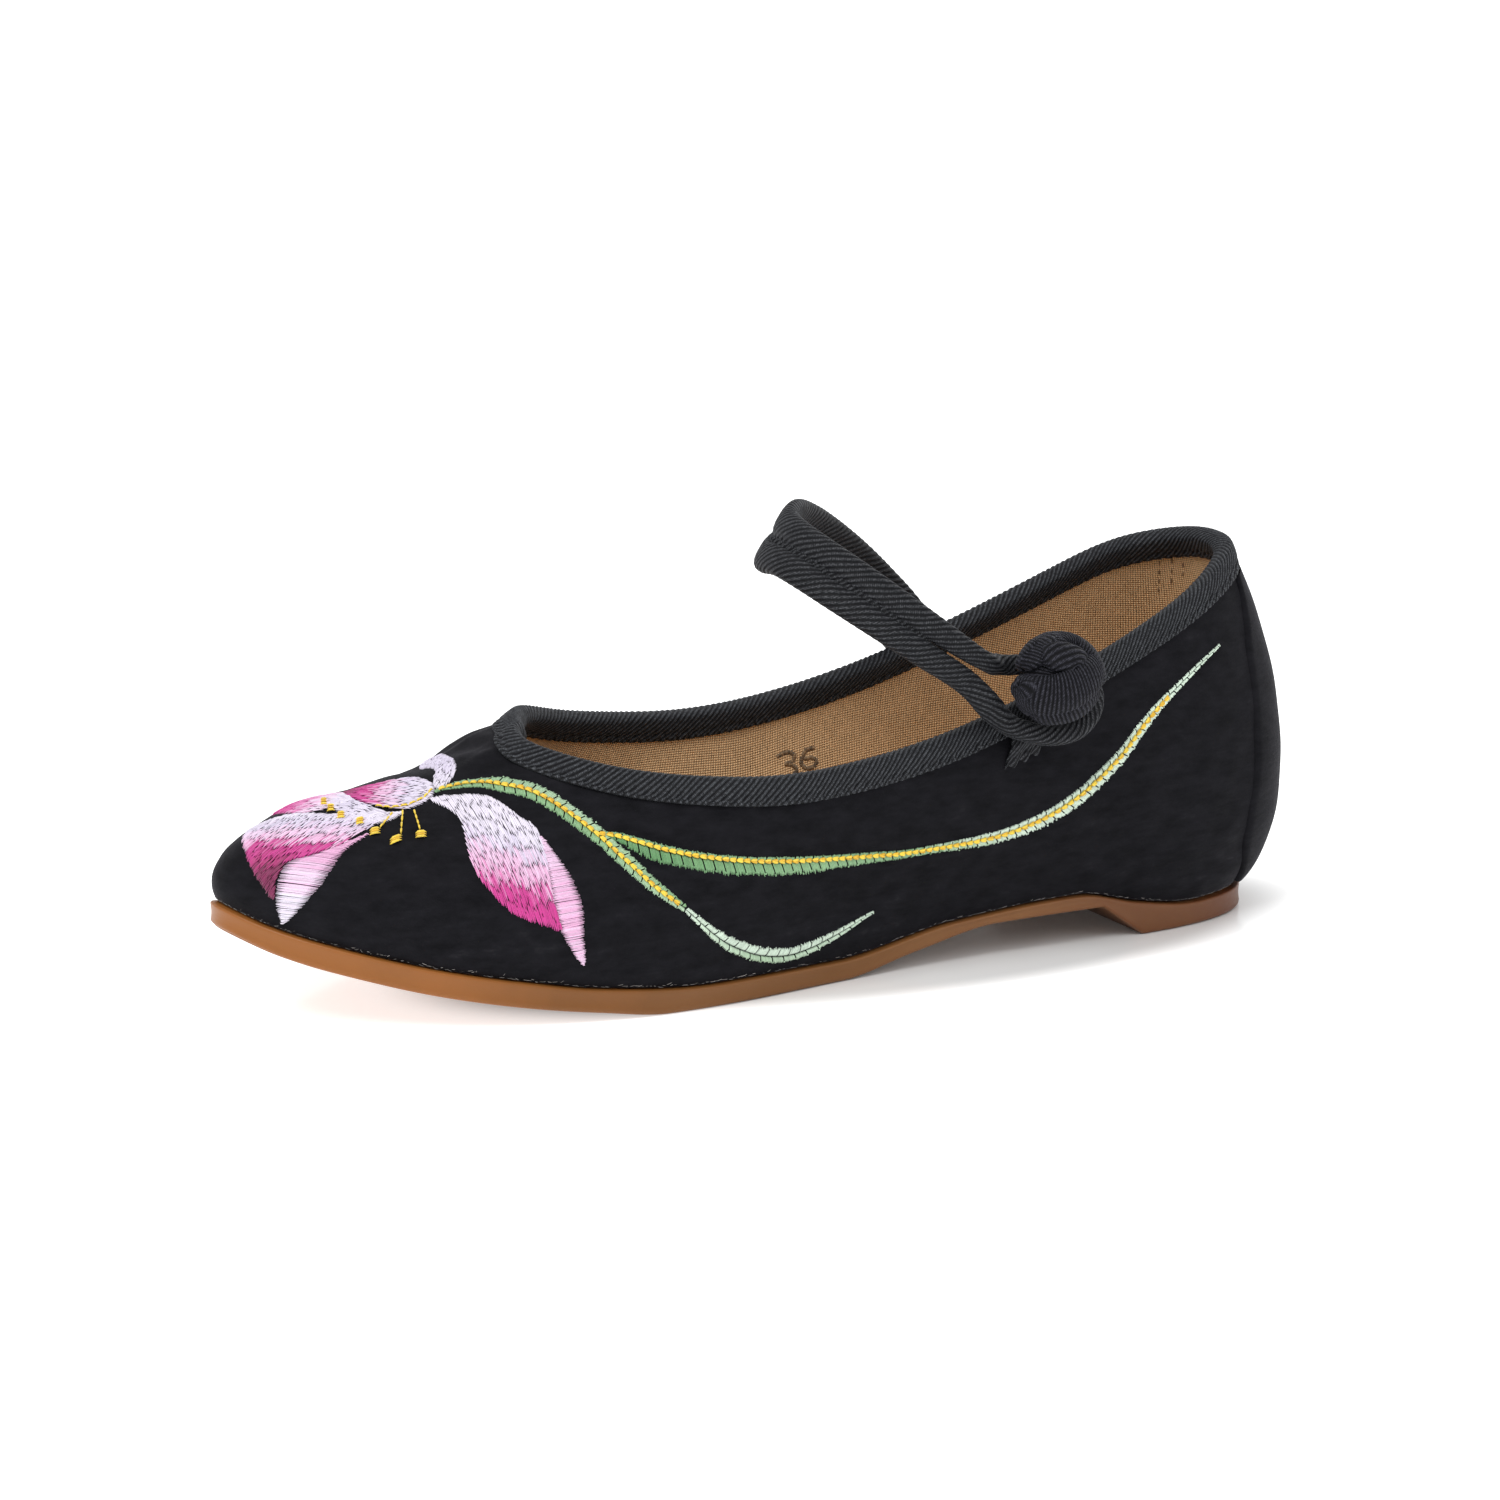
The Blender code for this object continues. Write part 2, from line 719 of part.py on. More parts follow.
# Where the strap splits, where it meets the inner topline and where it ends
def arch_ends():
    edge, heelward, up, out = knot_frame()
    split = knot_centre() - heelward * SPLIT_REACH - out * SPLIT_TUCK + up * SPLIT_RISE
    stand = TAPE_WALL + 2 * GAP + CORD_THICK / 2 + SEAT_CLEAR
    turn = np.array([station(STRAP_PLACE, True)])
    share = share_below_top(turn, STRAP_SEAT)
    seat = skin(turn, share, stand)[0]
    out = (skin(turn, share, 1.0) - skin(turn, share))[0]
    back = np.array([station(STRAP_PLACE - STRAP_END / SOLE_LENGTH, True)])
    end = skin(back, share_below_top(back, TAPE_WIDTH + CORD_WIDTH), stand)[0]
    return split, seat, end, out


# Middle line of the strap from its sewn end over the arch to the split,
# with the direction across its two cords
def strap_line():
    split, seat, end, out = arch_ends()
    middle = (split + seat) / 2
    half = (split - seat) / 2
    crest = np.array([-STRAP_REACH, 0.0, STRAP_RISE])
    across = np.array([STRAP_RISE, 0.0, STRAP_REACH])
    across /= np.linalg.norm(across)
    points = [end]
    for turn in np.linspace(0.0, math.pi, ARCH_PARTS):
        swell = STRAP_SWELL * max(0.0, math.sin(2 * turn))
        point = middle - half * math.cos(turn) + crest * math.sin(turn)
        points.append(point + across * swell)
    across = np.tile(across, (len(points), 1))
    for index in range(2):
        across[index] -= out * np.dot(across[index], out)
        across[index] /= np.linalg.norm(across[index])
    return np.array(points), across


# Route of the one cord that makes the strap: over the arch, round the
# knot and back, with the way its wide side faces and its width
def cord_route():
    middle, across = strap_line()
    places = np.linspace(0.0, 1.0, len(middle))
    legs = flow(ARCH_WIDTH, 1, places) * CORD_WIDTH
    apart = (legs[:, None] + GAP) / 2
    edge, heelward, up, out = knot_frame()
    centre = edge + up * KNOT_ABOVE + out * LOOP_STAND
    ring = []
    ring_width = []
    for heel_share, up_share, width_share in LOOP_ROUTE:
        ring.append(centre + (heelward * heel_share + up * up_share) * KNOT_RADIUS)
        ring_width.append(width_share * CORD_WIDTH)
    upper = list(middle + across * apart)
    lower = list(middle - across * apart)
    route = upper + ring + lower[::-1]
    facing = list(across) + [out] * len(ring) + list(across[::-1])
    width = list(legs) + ring_width + list(legs[::-1])
    return np.array(route), np.array(facing), np.array(width)


# Flat cord swept along its route
def build_strap():
    route, facing, width = cord_route()
    path = smooth_route(route, CORD_PARTS)
    sides = smooth_route(facing, CORD_PARTS)
    widths = smooth_route(width[:, None], CORD_PARTS)[:, 0]
    source = bmesh.new()
    rings = []
    for index, point in enumerate(path):
        before = path[max(index - 1, 0)]
        after = path[min(index + 1, len(path) - 1)]
        way = (after - before) / np.linalg.norm(after - before)
        wide = sides[index] - way * np.dot(sides[index], way)
        wide /= np.linalg.norm(wide)
        thin = np.cross(way, wide)
        ring = []
        for corner in range(CORD_SIDES):
            angle = 2 * math.pi * corner / CORD_SIDES
            reach = wide * math.cos(angle) * widths[index] / 2
            ring.append(point + reach + thin * math.sin(angle) * CORD_THICK / 2)
        rings.append(ring)
    rows = join_rings(source, rings, False)
    source.faces.new(rows[0])
    source.faces.new(rows[-1])
    return add_piece("strap", source, (0.022, 0.023, 0.028), 0.8)


# Flat tail of the button, sewn down the outer wall over the tape
def build_tail():
    over_tape = TAPE_WALL + 2 * GAP
    past_tape = TAPE_WIDTH + GAP
    steps = (
        (TAPE_WIDTH * TAIL_TOP, over_tape),
        (past_tape, over_tape),
        (past_tape + TAPE_WALL * TAIL_STEP, GAP),
        (TAIL_DROP, GAP),
    )
    spread = np.linspace(-0.5, 0.5, TAIL_COLUMNS)
    source = bmesh.new()
    rings = []
    for depth, offset in steps:
        slant = -TAIL_SLANT * depth / TAIL_DROP
        along = KNOT_PLACE - (slant + spread * TAIL_WIDTH) / SOLE_LENGTH
        turns = np.array([station(value, False) for value in along])
        share = share_below_top(turns, depth)
        outer = skin(turns, share, offset + TAIL_WALL)
        inner = skin(turns, share, offset)
        rings.append(np.concatenate([outer, inner[::-1]]))
    rows = join_rings(source, rings, False)
    close_ends(source, rows, TAIL_COLUMNS)
    return add_piece("button_tail", source, (0.022, 0.023, 0.028), 0.8)


# Button: a flattened ball with a neck that comes down to the tail
def build_knot():
    edge, heelward, up, out = knot_frame()
    centre = knot_centre()
    tail_face = KNOT_STAND - TAPE_WALL - 3 * GAP - TAIL_WALL
    start = math.asin(NECK_RADIUS / KNOT_RADIUS)
    neck_top = KNOT_DEPTH * math.cos(start)
    rows = [
        (-tail_face, -NECK_FALL, NECK_RADIUS),
        (-(tail_face + neck_top) / 2, -NECK_FALL / 2, NECK_RADIUS),
    ]
    for angle in np.linspace(start, math.pi - start / 2, KNOT_ROWS):
        rows.append((-KNOT_DEPTH * math.cos(angle), 0.0, KNOT_RADIUS * math.sin(angle)))
    source = bmesh.new()
    rings = []
    for depth, rise, radius in rows:
        ring = []
        for column in range(KNOT_COLUMNS):
            angle = 2 * math.pi * column / KNOT_COLUMNS
            reach = heelward * math.cos(angle) + up * math.sin(angle)
            ring.append(centre + out * depth + up * rise + reach * radius)
        rings.append(ring)
    tiles = join_rings(source, rings, False)
    source.faces.new(tiles[0])
    source.faces.new(tiles[-1])
    return add_piece("button_knot", source, (0.022, 0.023, 0.028), 0.8)


def clear_scene():
    for piece in list(bpy.data.objects):
        bpy.data.objects.remove(piece, do_unlink=True)


def main():
    clear_scene()
    build_outsole()
    build_upper()
    build_footbed()
    build_collar_binding()
    build_heel_patch()
    build_strap()
    build_knot()
    build_tail()


main()
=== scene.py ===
# Embroidered cloth shoe, left foot: velvet upper with a lotus in satin stitch,
# canvas lining, twill binding, a knotted button with its loop strap, gum sole.
# Metres, toe along -X, outer side towards -Y, floor at z = 0.

import math

import bmesh
import bpy
import numpy as np
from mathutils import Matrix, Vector
from mathutils.bvhtree import BVHTree


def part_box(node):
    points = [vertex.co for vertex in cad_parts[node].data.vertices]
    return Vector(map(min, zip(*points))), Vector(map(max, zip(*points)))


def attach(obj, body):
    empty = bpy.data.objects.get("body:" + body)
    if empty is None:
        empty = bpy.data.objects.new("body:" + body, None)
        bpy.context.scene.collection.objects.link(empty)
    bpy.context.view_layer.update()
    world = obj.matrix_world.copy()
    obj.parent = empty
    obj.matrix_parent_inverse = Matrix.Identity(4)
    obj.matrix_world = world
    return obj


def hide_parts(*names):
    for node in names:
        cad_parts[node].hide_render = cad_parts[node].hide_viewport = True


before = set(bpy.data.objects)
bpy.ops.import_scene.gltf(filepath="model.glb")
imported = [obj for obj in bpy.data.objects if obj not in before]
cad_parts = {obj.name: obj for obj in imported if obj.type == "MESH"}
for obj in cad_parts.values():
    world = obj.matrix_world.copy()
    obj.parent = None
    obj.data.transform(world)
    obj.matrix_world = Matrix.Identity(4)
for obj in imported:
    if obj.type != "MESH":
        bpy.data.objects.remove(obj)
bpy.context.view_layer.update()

mm = 0.001
chance = np.random.default_rng(7)   # one seeded source for every jitter

# The shoe's own sizes, as its solids have them
soleLow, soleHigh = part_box("outsole")
shoe = {
    "heelEnd": soleHigh.x,
    "length": soleHigh.x - soleLow.x,
    "ballWidth": 76.5 * mm,
    "soleEdge": 4.8 * mm,
    "toeSpring": 18.4 * mm,
    "archRise": 7.2 * mm,
    "breastFoot": 36 * mm,
    "breastSlant": 10 * mm,
    "wall": 1.8 * mm,
    "throatHeight": 54.0 * mm,
    "sideHeight": 44.1 * mm,
    "heelHeight": 79.5 * mm,
    "featherInset": 1.0 * mm,
    "gap": 0.3 * mm,
    "tapeWidth": 7.2 * mm,      # strap and knot are placed from this one
    "tapeShown": 5.0 * mm,
    "tapeWall": 1.0 * mm,
}

# Half widths of the sole as shares of the ball width
outlineRows = (
    # along, outer, inner
    (0.000, 0.000, 0.000),
    (0.030, 0.220, 0.220),
    (0.070, 0.294, 0.292),
    (0.130, 0.340, 0.333),
    (0.200, 0.355, 0.338),
    (0.300, 0.362, 0.312),
    (0.400, 0.380, 0.283),
    (0.500, 0.430, 0.308),
    (0.570, 0.473, 0.362),
    (0.640, 0.498, 0.438),
    (0.710, 0.492, 0.495),
    (0.780, 0.452, 0.508),
    (0.850, 0.374, 0.464),
    (0.910, 0.280, 0.386),
    (0.955, 0.184, 0.292),
    (0.985, 0.078, 0.185),
    (1.000, -0.050, 0.050),
)

# Underside in front of the heel: shares of toe spring and arch rise
undersideRows = (
    # along, spring, arch
    (0.000, 0.000, 1.000),
    (0.210, 0.000, 1.000),
    (0.304, 0.000, 0.960),
    (0.388, 0.000, 0.480),
    (0.470, 0.000, 0.000),
    (0.650, 0.000, 0.000),
    (0.717, 0.100, 0.000),
    (0.785, 0.223, 0.000),
    (0.852, 0.380, 0.000),
    (0.911, 0.570, 0.000),
    (0.966, 0.790, 0.000),
    (1.000, 1.000, 0.000),
)

# Upper face of the sole, the same shares and its share of the edge
topRows = (
    # along, spring, arch, edge
    (0.000, 0.000, 0.000, 1.040),
    (0.084, 0.000, 0.000, 1.020),
    (0.156, 0.000, 0.480, 0.760),
    (0.219, 0.000, 1.000, 0.640),
    (0.346, 0.000, 0.700, 0.700),
    (0.473, 0.000, 0.030, 0.830),
    (0.603, 0.000, 0.000, 0.940),
    (0.717, 0.108, 0.000, 0.980),
    (0.785, 0.240, 0.000, 1.020),
    (0.852, 0.400, 0.000, 1.020),
    (0.924, 0.640, 0.000, 1.000),
    (0.975, 0.850, 0.000, 0.980),
    (1.000, 1.000, 0.000, 0.960),
)

# Wall sections round the shoe, the same shares as in the solids
sectionNames = ("along", "topAlong", "out", "throat", "heel", "swell", "rise", "lean", "crown", "drop")
toeRow = (1.000, 0.722, 0.005, 1.00, 0.00, 0.086, 0.56, 0.45, 0.000, 0.35)
heelRow = (0.000, 0.016, 0.000, 0.00, 1.00, 0.208, 0.16, 0.00, 0.165, 0.36)
outerRows = (
    (0.975, 0.731, 0.046, 0.98, 0.00, 0.078, 0.55, 0.44, 0.010, 0.35),
    (0.930, 0.735, 0.108, 0.90, 0.00, 0.064, 0.54, 0.42, 0.010, 0.33),
    (0.860, 0.726, 0.170, 0.76, 0.00, 0.054, 0.50, 0.38, 0.018, 0.30),
    (0.780, 0.696, 0.240, 0.52, 0.00, 0.045, 0.46, 0.34, 0.026, 0.30),
    (0.700, 0.648, 0.325, 0.27, 0.00, 0.038, 0.43, 0.30, 0.032, 0.30),
    (0.620, 0.588, 0.384, 0.10, 0.00, 0.033, 0.40, 0.30, 0.038, 0.30),
    (0.520, 0.509, 0.400, 0.00, 0.00, 0.033, 0.38, 0.30, 0.040, 0.32),
    (0.420, 0.413, 0.391, 0.00, 0.06, 0.038, 0.36, 0.25, 0.042, 0.33),
    (0.320, 0.317, 0.366, 0.00, 0.20, 0.055, 0.33, 0.15, 0.055, 0.33),
    (0.220, 0.215, 0.338, 0.00, 0.44, 0.075, 0.28, 0.08, 0.080, 0.33),
    (0.120, 0.124, 0.300, 0.00, 0.69, 0.095, 0.24, 0.00, 0.100, 0.33),
    (0.050, 0.067, 0.230, 0.00, 0.85, 0.140, 0.20, 0.00, 0.128, 0.33),
    (0.015, 0.028, 0.130, 0.00, 0.96, 0.180, 0.17, 0.00, 0.160, 0.34),
)
innerRows = (
    (0.975, 0.712, 0.080, 1.00, 0.00, 0.076, 0.55, 0.44, 0.010, 0.35),
    (0.930, 0.702, 0.140, 0.98, 0.00, 0.062, 0.54, 0.42, 0.010, 0.34),
    (0.860, 0.689, 0.210, 0.92, 0.00, 0.052, 0.49, 0.38, 0.014, 0.32),
    (0.780, 0.664, 0.280, 0.76, 0.00, 0.044, 0.45, 0.34, 0.022, 0.31),
    (0.700, 0.626, 0.336, 0.50, 0.00, 0.038, 0.43, 0.30, 0.032, 0.30),
    (0.620, 0.572, 0.370, 0.28, 0.00, 0.036, 0.40, 0.30, 0.038, 0.30),
    (0.520, 0.498, 0.386, 0.14, 0.00, 0.050, 0.38, 0.25, 0.040, 0.32),
    (0.420, 0.413, 0.384, 0.03, 0.08, 0.075, 0.36, 0.15, 0.045, 0.33),
    (0.320, 0.317, 0.364, 0.00, 0.24, 0.080, 0.33, 0.10, 0.055, 0.33),
    (0.220, 0.215, 0.338, 0.00, 0.48, 0.085, 0.28, 0.05, 0.080, 0.33),
    (0.120, 0.124, 0.300, 0.00, 0.74, 0.095, 0.24, 0.00, 0.100, 0.33),
    (0.050, 0.067, 0.230, 0.00, 0.91, 0.140, 0.20, 0.00, 0.128, 0.33),
    (0.015, 0.028, 0.130, 0.00, 0.98, 0.180, 0.17, 0.00, 0.160, 0.34),
)

wholeTurn = 2.0     # 0 at the toe tip, 1 at the heel's back, 2 at the toe again
tinyStep = 0.001


# Smooth curve through a table's rows that keeps flat stretches flat
def flow(rows, column, where):
    table = np.array(rows, dtype=float)
    place = table[:, 0]
    value = table[:, column]
    span = np.diff(place)
    slope = np.diff(value) / span
    tangent = np.zeros(len(place))
    for index in range(1, len(place) - 1):
        before = slope[index - 1]
        after = slope[index]
        if before * after > 0:
            tangent[index] = 2 * before * after / (before + after)
    tangent[0] = slope[0]
    tangent[-1] = slope[-1]
    at = np.clip(np.asarray(where, dtype=float), place[0], place[-1])
    cell = np.clip(np.searchsorted(place, at, side="right") - 1, 0, len(span) - 1)
    wide = span[cell]
    share = (at - place[cell]) / wide
    back = 1 - share
    start = (1 + 2 * share) * back ** 2 * value[cell]
    end = (3 - 2 * share) * share ** 2 * value[cell + 1]
    lean = share * back * (back * tangent[cell] - share * tangent[cell + 1])
    return start + end + lean * wide


# Smooth closed curve through values given round the shoe
def loopCurve(places, values):
    places = np.asarray(places, dtype=float)
    values = np.asarray(values, dtype=float)
    count = len(places)
    span = np.roll(places, -1) - places
    span[-1] += wholeTurn
    before = np.roll(span, 1)
    slope = (np.roll(values, -1) - values) / span
    matrix = np.zeros((count, count))
    for row in range(count):
        matrix[row, row - 1] += before[row]
        matrix[row, row] += 2 * (before[row] + span[row])
        matrix[row, (row + 1) % count] += span[row]
    bend = np.linalg.solve(matrix, 6 * (slope - np.roll(slope, 1)))

    def read(where):
        at = np.mod(where, wholeTurn)
        cell = np.clip(np.searchsorted(places, at, side="right") - 1, 0, count - 1)
        following = (cell + 1) % count
        wide = span[cell]
        ahead = (at - places[cell]) / wide
        behind = 1 - ahead
        straight = behind * values[cell] + ahead * values[following]
        start = (behind ** 3 - behind) * bend[cell]
        end = (ahead ** 3 - ahead) * bend[following]
        return straight + (start + end) * wide ** 2 / 6

    return read


def station(along, inner):
    turn = math.acos(min(1.0, max(-1.0, 2 * along - 1))) / math.pi
    return wholeTurn - turn if inner else turn


def alongAt(turn):
    return (1 + np.cos(math.pi * np.asarray(turn))) / 2


def lengthAt(along):
    return shoe["heelEnd"] - shoe["length"] * along


def outlineCurve():
    rows = []
    for along, outer, inner in outlineRows:
        if 0.0 < along < 1.0:
            rows.append((station(along, False), -outer))
            rows.append((station(along, True), inner))
        else:
            rows.append((station(along, False), inner))
    rows.sort()
    places, across = np.array(rows).T
    return loopCurve(places, across)


def sectionCurves():
    rows = [(0.0, -1.0) + toeRow, (1.0, -1.0) + heelRow]
    rows += [(station(row[0], False), -1.0) + row for row in outerRows]
    rows += [(station(row[0], True), 1.0) + row for row in innerRows]
    rows.sort()
    table = np.array(rows)
    curves = {name: loopCurve(table[:, 0], table[:, 2 + index]) for index, name in enumerate(sectionNames)}
    curves["across"] = loopCurve(table[:, 0], table[:, 1] * table[:, 4])
    return curves


readOutline = outlineCurve()
readSection = sectionCurves()


# Sole outline, drawn in by an inset along its own normal
def outline(turn, inset=0.0):
    points = []
    for shift in (-tinyStep, 0.0, tinyStep):
        at = np.asarray(turn) + shift
        points.append(np.stack([lengthAt(alongAt(at)), readOutline(at) * shoe["ballWidth"]], -1))
    way = points[2] - points[0]
    way /= np.linalg.norm(way, axis=-1, keepdims=True)
    normal = np.stack([way[..., 1], -way[..., 0]], -1)
    return points[1] - normal * inset, normal


def undersideHeight(along):
    spring = flow(undersideRows, 1, along) * shoe["toeSpring"]
    return spring + flow(undersideRows, 2, along) * shoe["archRise"]


def topHeight(along):
    spring = flow(topRows, 1, along) * shoe["toeSpring"]
    arch = flow(topRows, 2, along) * shoe["archRise"]
    return spring + arch + flow(topRows, 3, along) * shoe["soleEdge"]


# Four points that steer each wall line from the sole's edge to the topline
def wallGuides(turn):
    turn = np.asarray(turn, dtype=float)
    footPlan, normal = outline(turn, shoe["featherInset"])
    footZ = topHeight(alongAt(turn)) + shoe["gap"]
    foot = np.concatenate([footPlan, footZ[..., None]], -1)
    topZ = shoe["sideHeight"] + readSection["throat"](turn) * (shoe["throatHeight"] - shoe["sideHeight"])
    topZ = topZ + readSection["heel"](turn) * (shoe["heelHeight"] - shoe["sideHeight"])
    topX = lengthAt(readSection["topAlong"](turn))
    top = np.stack([topX, readSection["across"](turn) * shoe["ballWidth"], topZ], -1)
    height = (topZ - footZ)[..., None]
    out = np.concatenate([normal, np.zeros_like(footZ)[..., None]], -1)
    up = np.array([0.0, 0.0, 1.0])
    swell = readSection["swell"](turn)[..., None] * shoe["ballWidth"]
    crown = readSection["crown"](turn)[..., None] * shoe["ballWidth"]
    low = foot + out * swell + up * height * readSection["rise"](turn)[..., None]
    flat = (foot - top) * np.array([1.0, 1.0, 0.0])
    high = top + flat * readSection["lean"](turn)[..., None] + out * crown
    high = high - up * height * readSection["drop"](turn)[..., None]
    return foot, low, high, top


def wallPoint(turn, share):
    foot, low, high, top = wallGuides(turn)
    share = np.asarray(share, dtype=float)[..., None]
    back = 1 - share
    point = back ** 3 * foot + 3 * back ** 2 * share * low
    return point + 3 * back * share ** 2 * high + share ** 3 * top


def wallNormal(turn, share):
    roundWay = wallPoint(turn + tinyStep, share) - wallPoint(turn - tinyStep, share)
    upWay = wallPoint(turn, share + tinyStep) - wallPoint(turn, share - tinyStep)
    normal = np.cross(roundWay, upWay)
    return normal / np.linalg.norm(normal, axis=-1, keepdims=True)


# Face of the upper moved out by an offset
def skin(turn, share, offset=0.0):
    turn = np.asarray(turn, dtype=float)
    share = np.asarray(share, dtype=float)
    offset = np.asarray(offset, dtype=float)[..., None]
    return wallPoint(turn, share) + wallNormal(turn, share) * offset


# Share of the wall that lies a given way below the topline
def shareBelowTop(turn, depth):
    turn = np.asarray(turn, dtype=float)
    shares = np.linspace(1.0, 0.2, 41)
    points = wallPoint(turn[:, None], shares[None, :])
    steps = np.linalg.norm(np.diff(points, axis=1), axis=-1)
    run = np.concatenate([np.zeros((len(turn), 1)), np.cumsum(steps, axis=1)], axis=1)
    return np.array([np.interp(depth, line, shares) for line in run])


# Turns spaced evenly along the topline, with the length run at each
def evenTopline(count):
    turns = np.linspace(0.0, wholeTurn, 4001)
    edge = skin(turns, 1.0)
    steps = np.linalg.norm(np.diff(edge, axis=0), axis=1)
    run = np.concatenate([[0.0], np.cumsum(steps)])
    places = np.linspace(0.0, run[-1], count + 1)
    return np.interp(places, run, turns), places


# Mesh over a grid of points; cloth holds each corner's place on the cloth in
# millimetres, with one more row or column where the grid closes on itself
def gridMesh(name, points, closeRows=False, closeColumns=False, cloth=None, flip=False):
    rows, columns = points.shape[:2]
    rowCount = rows if closeRows else rows - 1
    columnCount = columns if closeColumns else columns - 1
    row = np.arange(rowCount)[:, None]
    column = np.arange(columnCount)[None, :]
    corners = [(row, column), (row, column + 1), (row + 1, column + 1), (row + 1, column)]
    if flip:
        corners.reverse()
    faces = np.stack([(a % rows) * columns + b % columns for a, b in corners], -1).reshape(-1, 4)
    mesh = bpy.data.meshes.new(name)
    mesh.from_pydata(points.reshape(-1, 3).tolist(), [], faces.tolist())
    if cloth is not None:
        layer = mesh.attributes.new("cloth", "FLOAT_VECTOR", "CORNER")
        values = np.stack([cloth[a, b] for a, b in corners], -2)
        layer.data.foreach_set("vector", values.astype(np.float32).ravel())
    mesh.shade_smooth()
    return mesh


# Piece on the shoe's one body, with its finish
def addPiece(name, mesh, finish, slotName, *nodes):
    piece = bpy.data.objects.new(name, mesh)
    bpy.context.collection.objects.link(piece)
    piece.data.materials.append(finish)
    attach(piece, "root")
    if nodes:
        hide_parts(*nodes)
    return piece


def joinMeshes(name, meshes):
    points = []
    faces = []
    cloth = []
    offset = 0
    for mesh in meshes:
        place = np.zeros(len(mesh.vertices) * 3, np.float32)
        mesh.vertices.foreach_get("co", place)
        corner = np.zeros(len(mesh.loops), np.int32)
        mesh.loops.foreach_get("vertex_index", corner)
        points.append(place.reshape(-1, 3))
        faces.append(corner.reshape(-1, 4) + offset)
        value = np.zeros(len(corner) * 3, np.float32)
        if "cloth" in mesh.attributes:
            mesh.attributes["cloth"].data.foreach_get("vector", value)
        cloth.append(value)
        offset += len(mesh.vertices)
        bpy.data.meshes.remove(mesh)
    result = bpy.data.meshes.new(name)
    result.from_pydata(np.concatenate(points).tolist(), [], np.concatenate(faces).tolist())
    layer = result.attributes.new("cloth", "FLOAT_VECTOR", "CORNER")
    layer.data.foreach_set("vector", np.concatenate(cloth))
    result.shade_smooth()
    return result


# Grid between the two sides of a ring that starts at the toe tip
def capGrid(ring, height, columns):
    half = len(ring) // 2
    outer = ring[:half + 1]
    inner = np.concatenate([ring[:1], ring[:half - 1:-1]])
    share = np.linspace(0.0, 1.0, columns + 1)[None, :, None]
    grid = outer[:, None] + (inner - outer)[:, None] * share
    grid[..., 2] = height(grid)
    grid[:, 0, 2] = outer[:, 2]
    grid[:, -1, 2] = inner[:, 2]
    return grid


# Cloth laid in plan: its places are x and y
def placeCloth(points, wrap=False):
    cloth = points.copy()
    if wrap:
        cloth = np.concatenate([cloth, cloth[:, :1]], axis=1)
    cloth = cloth[..., :3] / mm
    cloth[..., 2] = 0.0
    return cloth


# Camera as the photo has it: turn, tilt, distance and scale
view = {
    "turn": 27.0,
    "tilt": 13.0,
    "distance": 1.3,
    "target": (-99.03 * mm, 0.0, 43.57 * mm),
    "pixelsPerMetre": 4750.0,
    "imageSide": 1500,
    "sensor": 36.0,
}


def makeCamera():
    turn = math.radians(-view["turn"])
    tilt = math.radians(view["tilt"])
    back = Vector((math.sin(turn) * math.cos(tilt), -math.cos(turn) * math.cos(tilt), math.sin(tilt)))
    data = bpy.data.cameras.new("camera")
    data.sensor_width = view["sensor"]
    focal = view["pixelsPerMetre"] * view["distance"]
    data.lens = focal / view["imageSide"] * view["sensor"]
    data.clip_start = 0.05
    data.clip_end = 50.0
    camera = bpy.data.objects.new("camera", data)
    camera.rotation_mode = "QUATERNION"
    camera.rotation_quaternion = (-back).to_track_quat("-Z", "Y")
    camera.location = Vector(view["target"]) + back * view["distance"]
    bpy.context.collection.objects.link(camera)
    bpy.context.scene.camera = camera
    right = Vector((math.cos(turn), math.sin(turn), 0.0))
    return camera.location.copy(), right, back.cross(right), back, focal


eye, eyeRight, eyeUp, eyeBack, focalPixels = makeCamera()
print("camera set")


# Ray of a pixel of the 1500 frame
def pixelRay(u, v):
    middle = view["imageSide"] / 2
    way = eyeRight * (u - middle) - eyeUp * (v - middle) - eyeBack * focalPixels
    return way.normalized()


# Small helpers for finishes
def newFinish(name, color, roughness, **more):
    finish = bpy.data.materials.new(name)
    finish.use_nodes = True
    shader = finish.node_tree.nodes["Principled BSDF"]
    shader.inputs["Base Color"].default_value = (*color, 1.0)
    shader.inputs["Roughness"].default_value = roughness
    for socket, value in more.items():
        shader.inputs[socket.replace("_", " ")].default_value = value
    return finish, shader


def node(finish, kind, settings=None, **inputs):
    made = finish.node_tree.nodes.new("ShaderNode" + kind)
    for key, value in (settings or {}).items():
        setattr(made, key, value)
    for key, value in inputs.items():
        socket = made.inputs[int(key[1:])] if key[1:].isdigit() else made.inputs[key.replace("_", " ")]
        if isinstance(value, bpy.types.NodeSocket):
            finish.node_tree.links.new(value, socket)
        else:
            socket.default_value = value
    return made


def sums(finish, operation, first, second=0.0):
    return node(finish, "Math", {"operation": operation}, i0=first, i1=second).outputs[0]


def speckle(finish, scale, detail=3.0, roughness=0.6, stretch=(1.0, 1.0, 1.0), where=None):
    if where is None:
        where = node(finish, "TexCoord").outputs["Object"]
    mapped = node(finish, "Mapping", None, Vector=where, Scale=stretch).outputs[0]
    made = node(finish, "TexNoise", None, Vector=mapped, Scale=scale, Detail=detail, Roughness=roughness)
    return made.outputs[0]


def ramp(finish, value, stops):
    made = node(finish, "ValToRGB", None, Fac=value)
    band = made.color_ramp
    while len(band.elements) < len(stops):
        band.elements.new(0.5)
    for element, (place, color) in zip(band.elements, stops):
        element.position = place
        element.color = (*color, 1.0)
    return made.outputs[0]


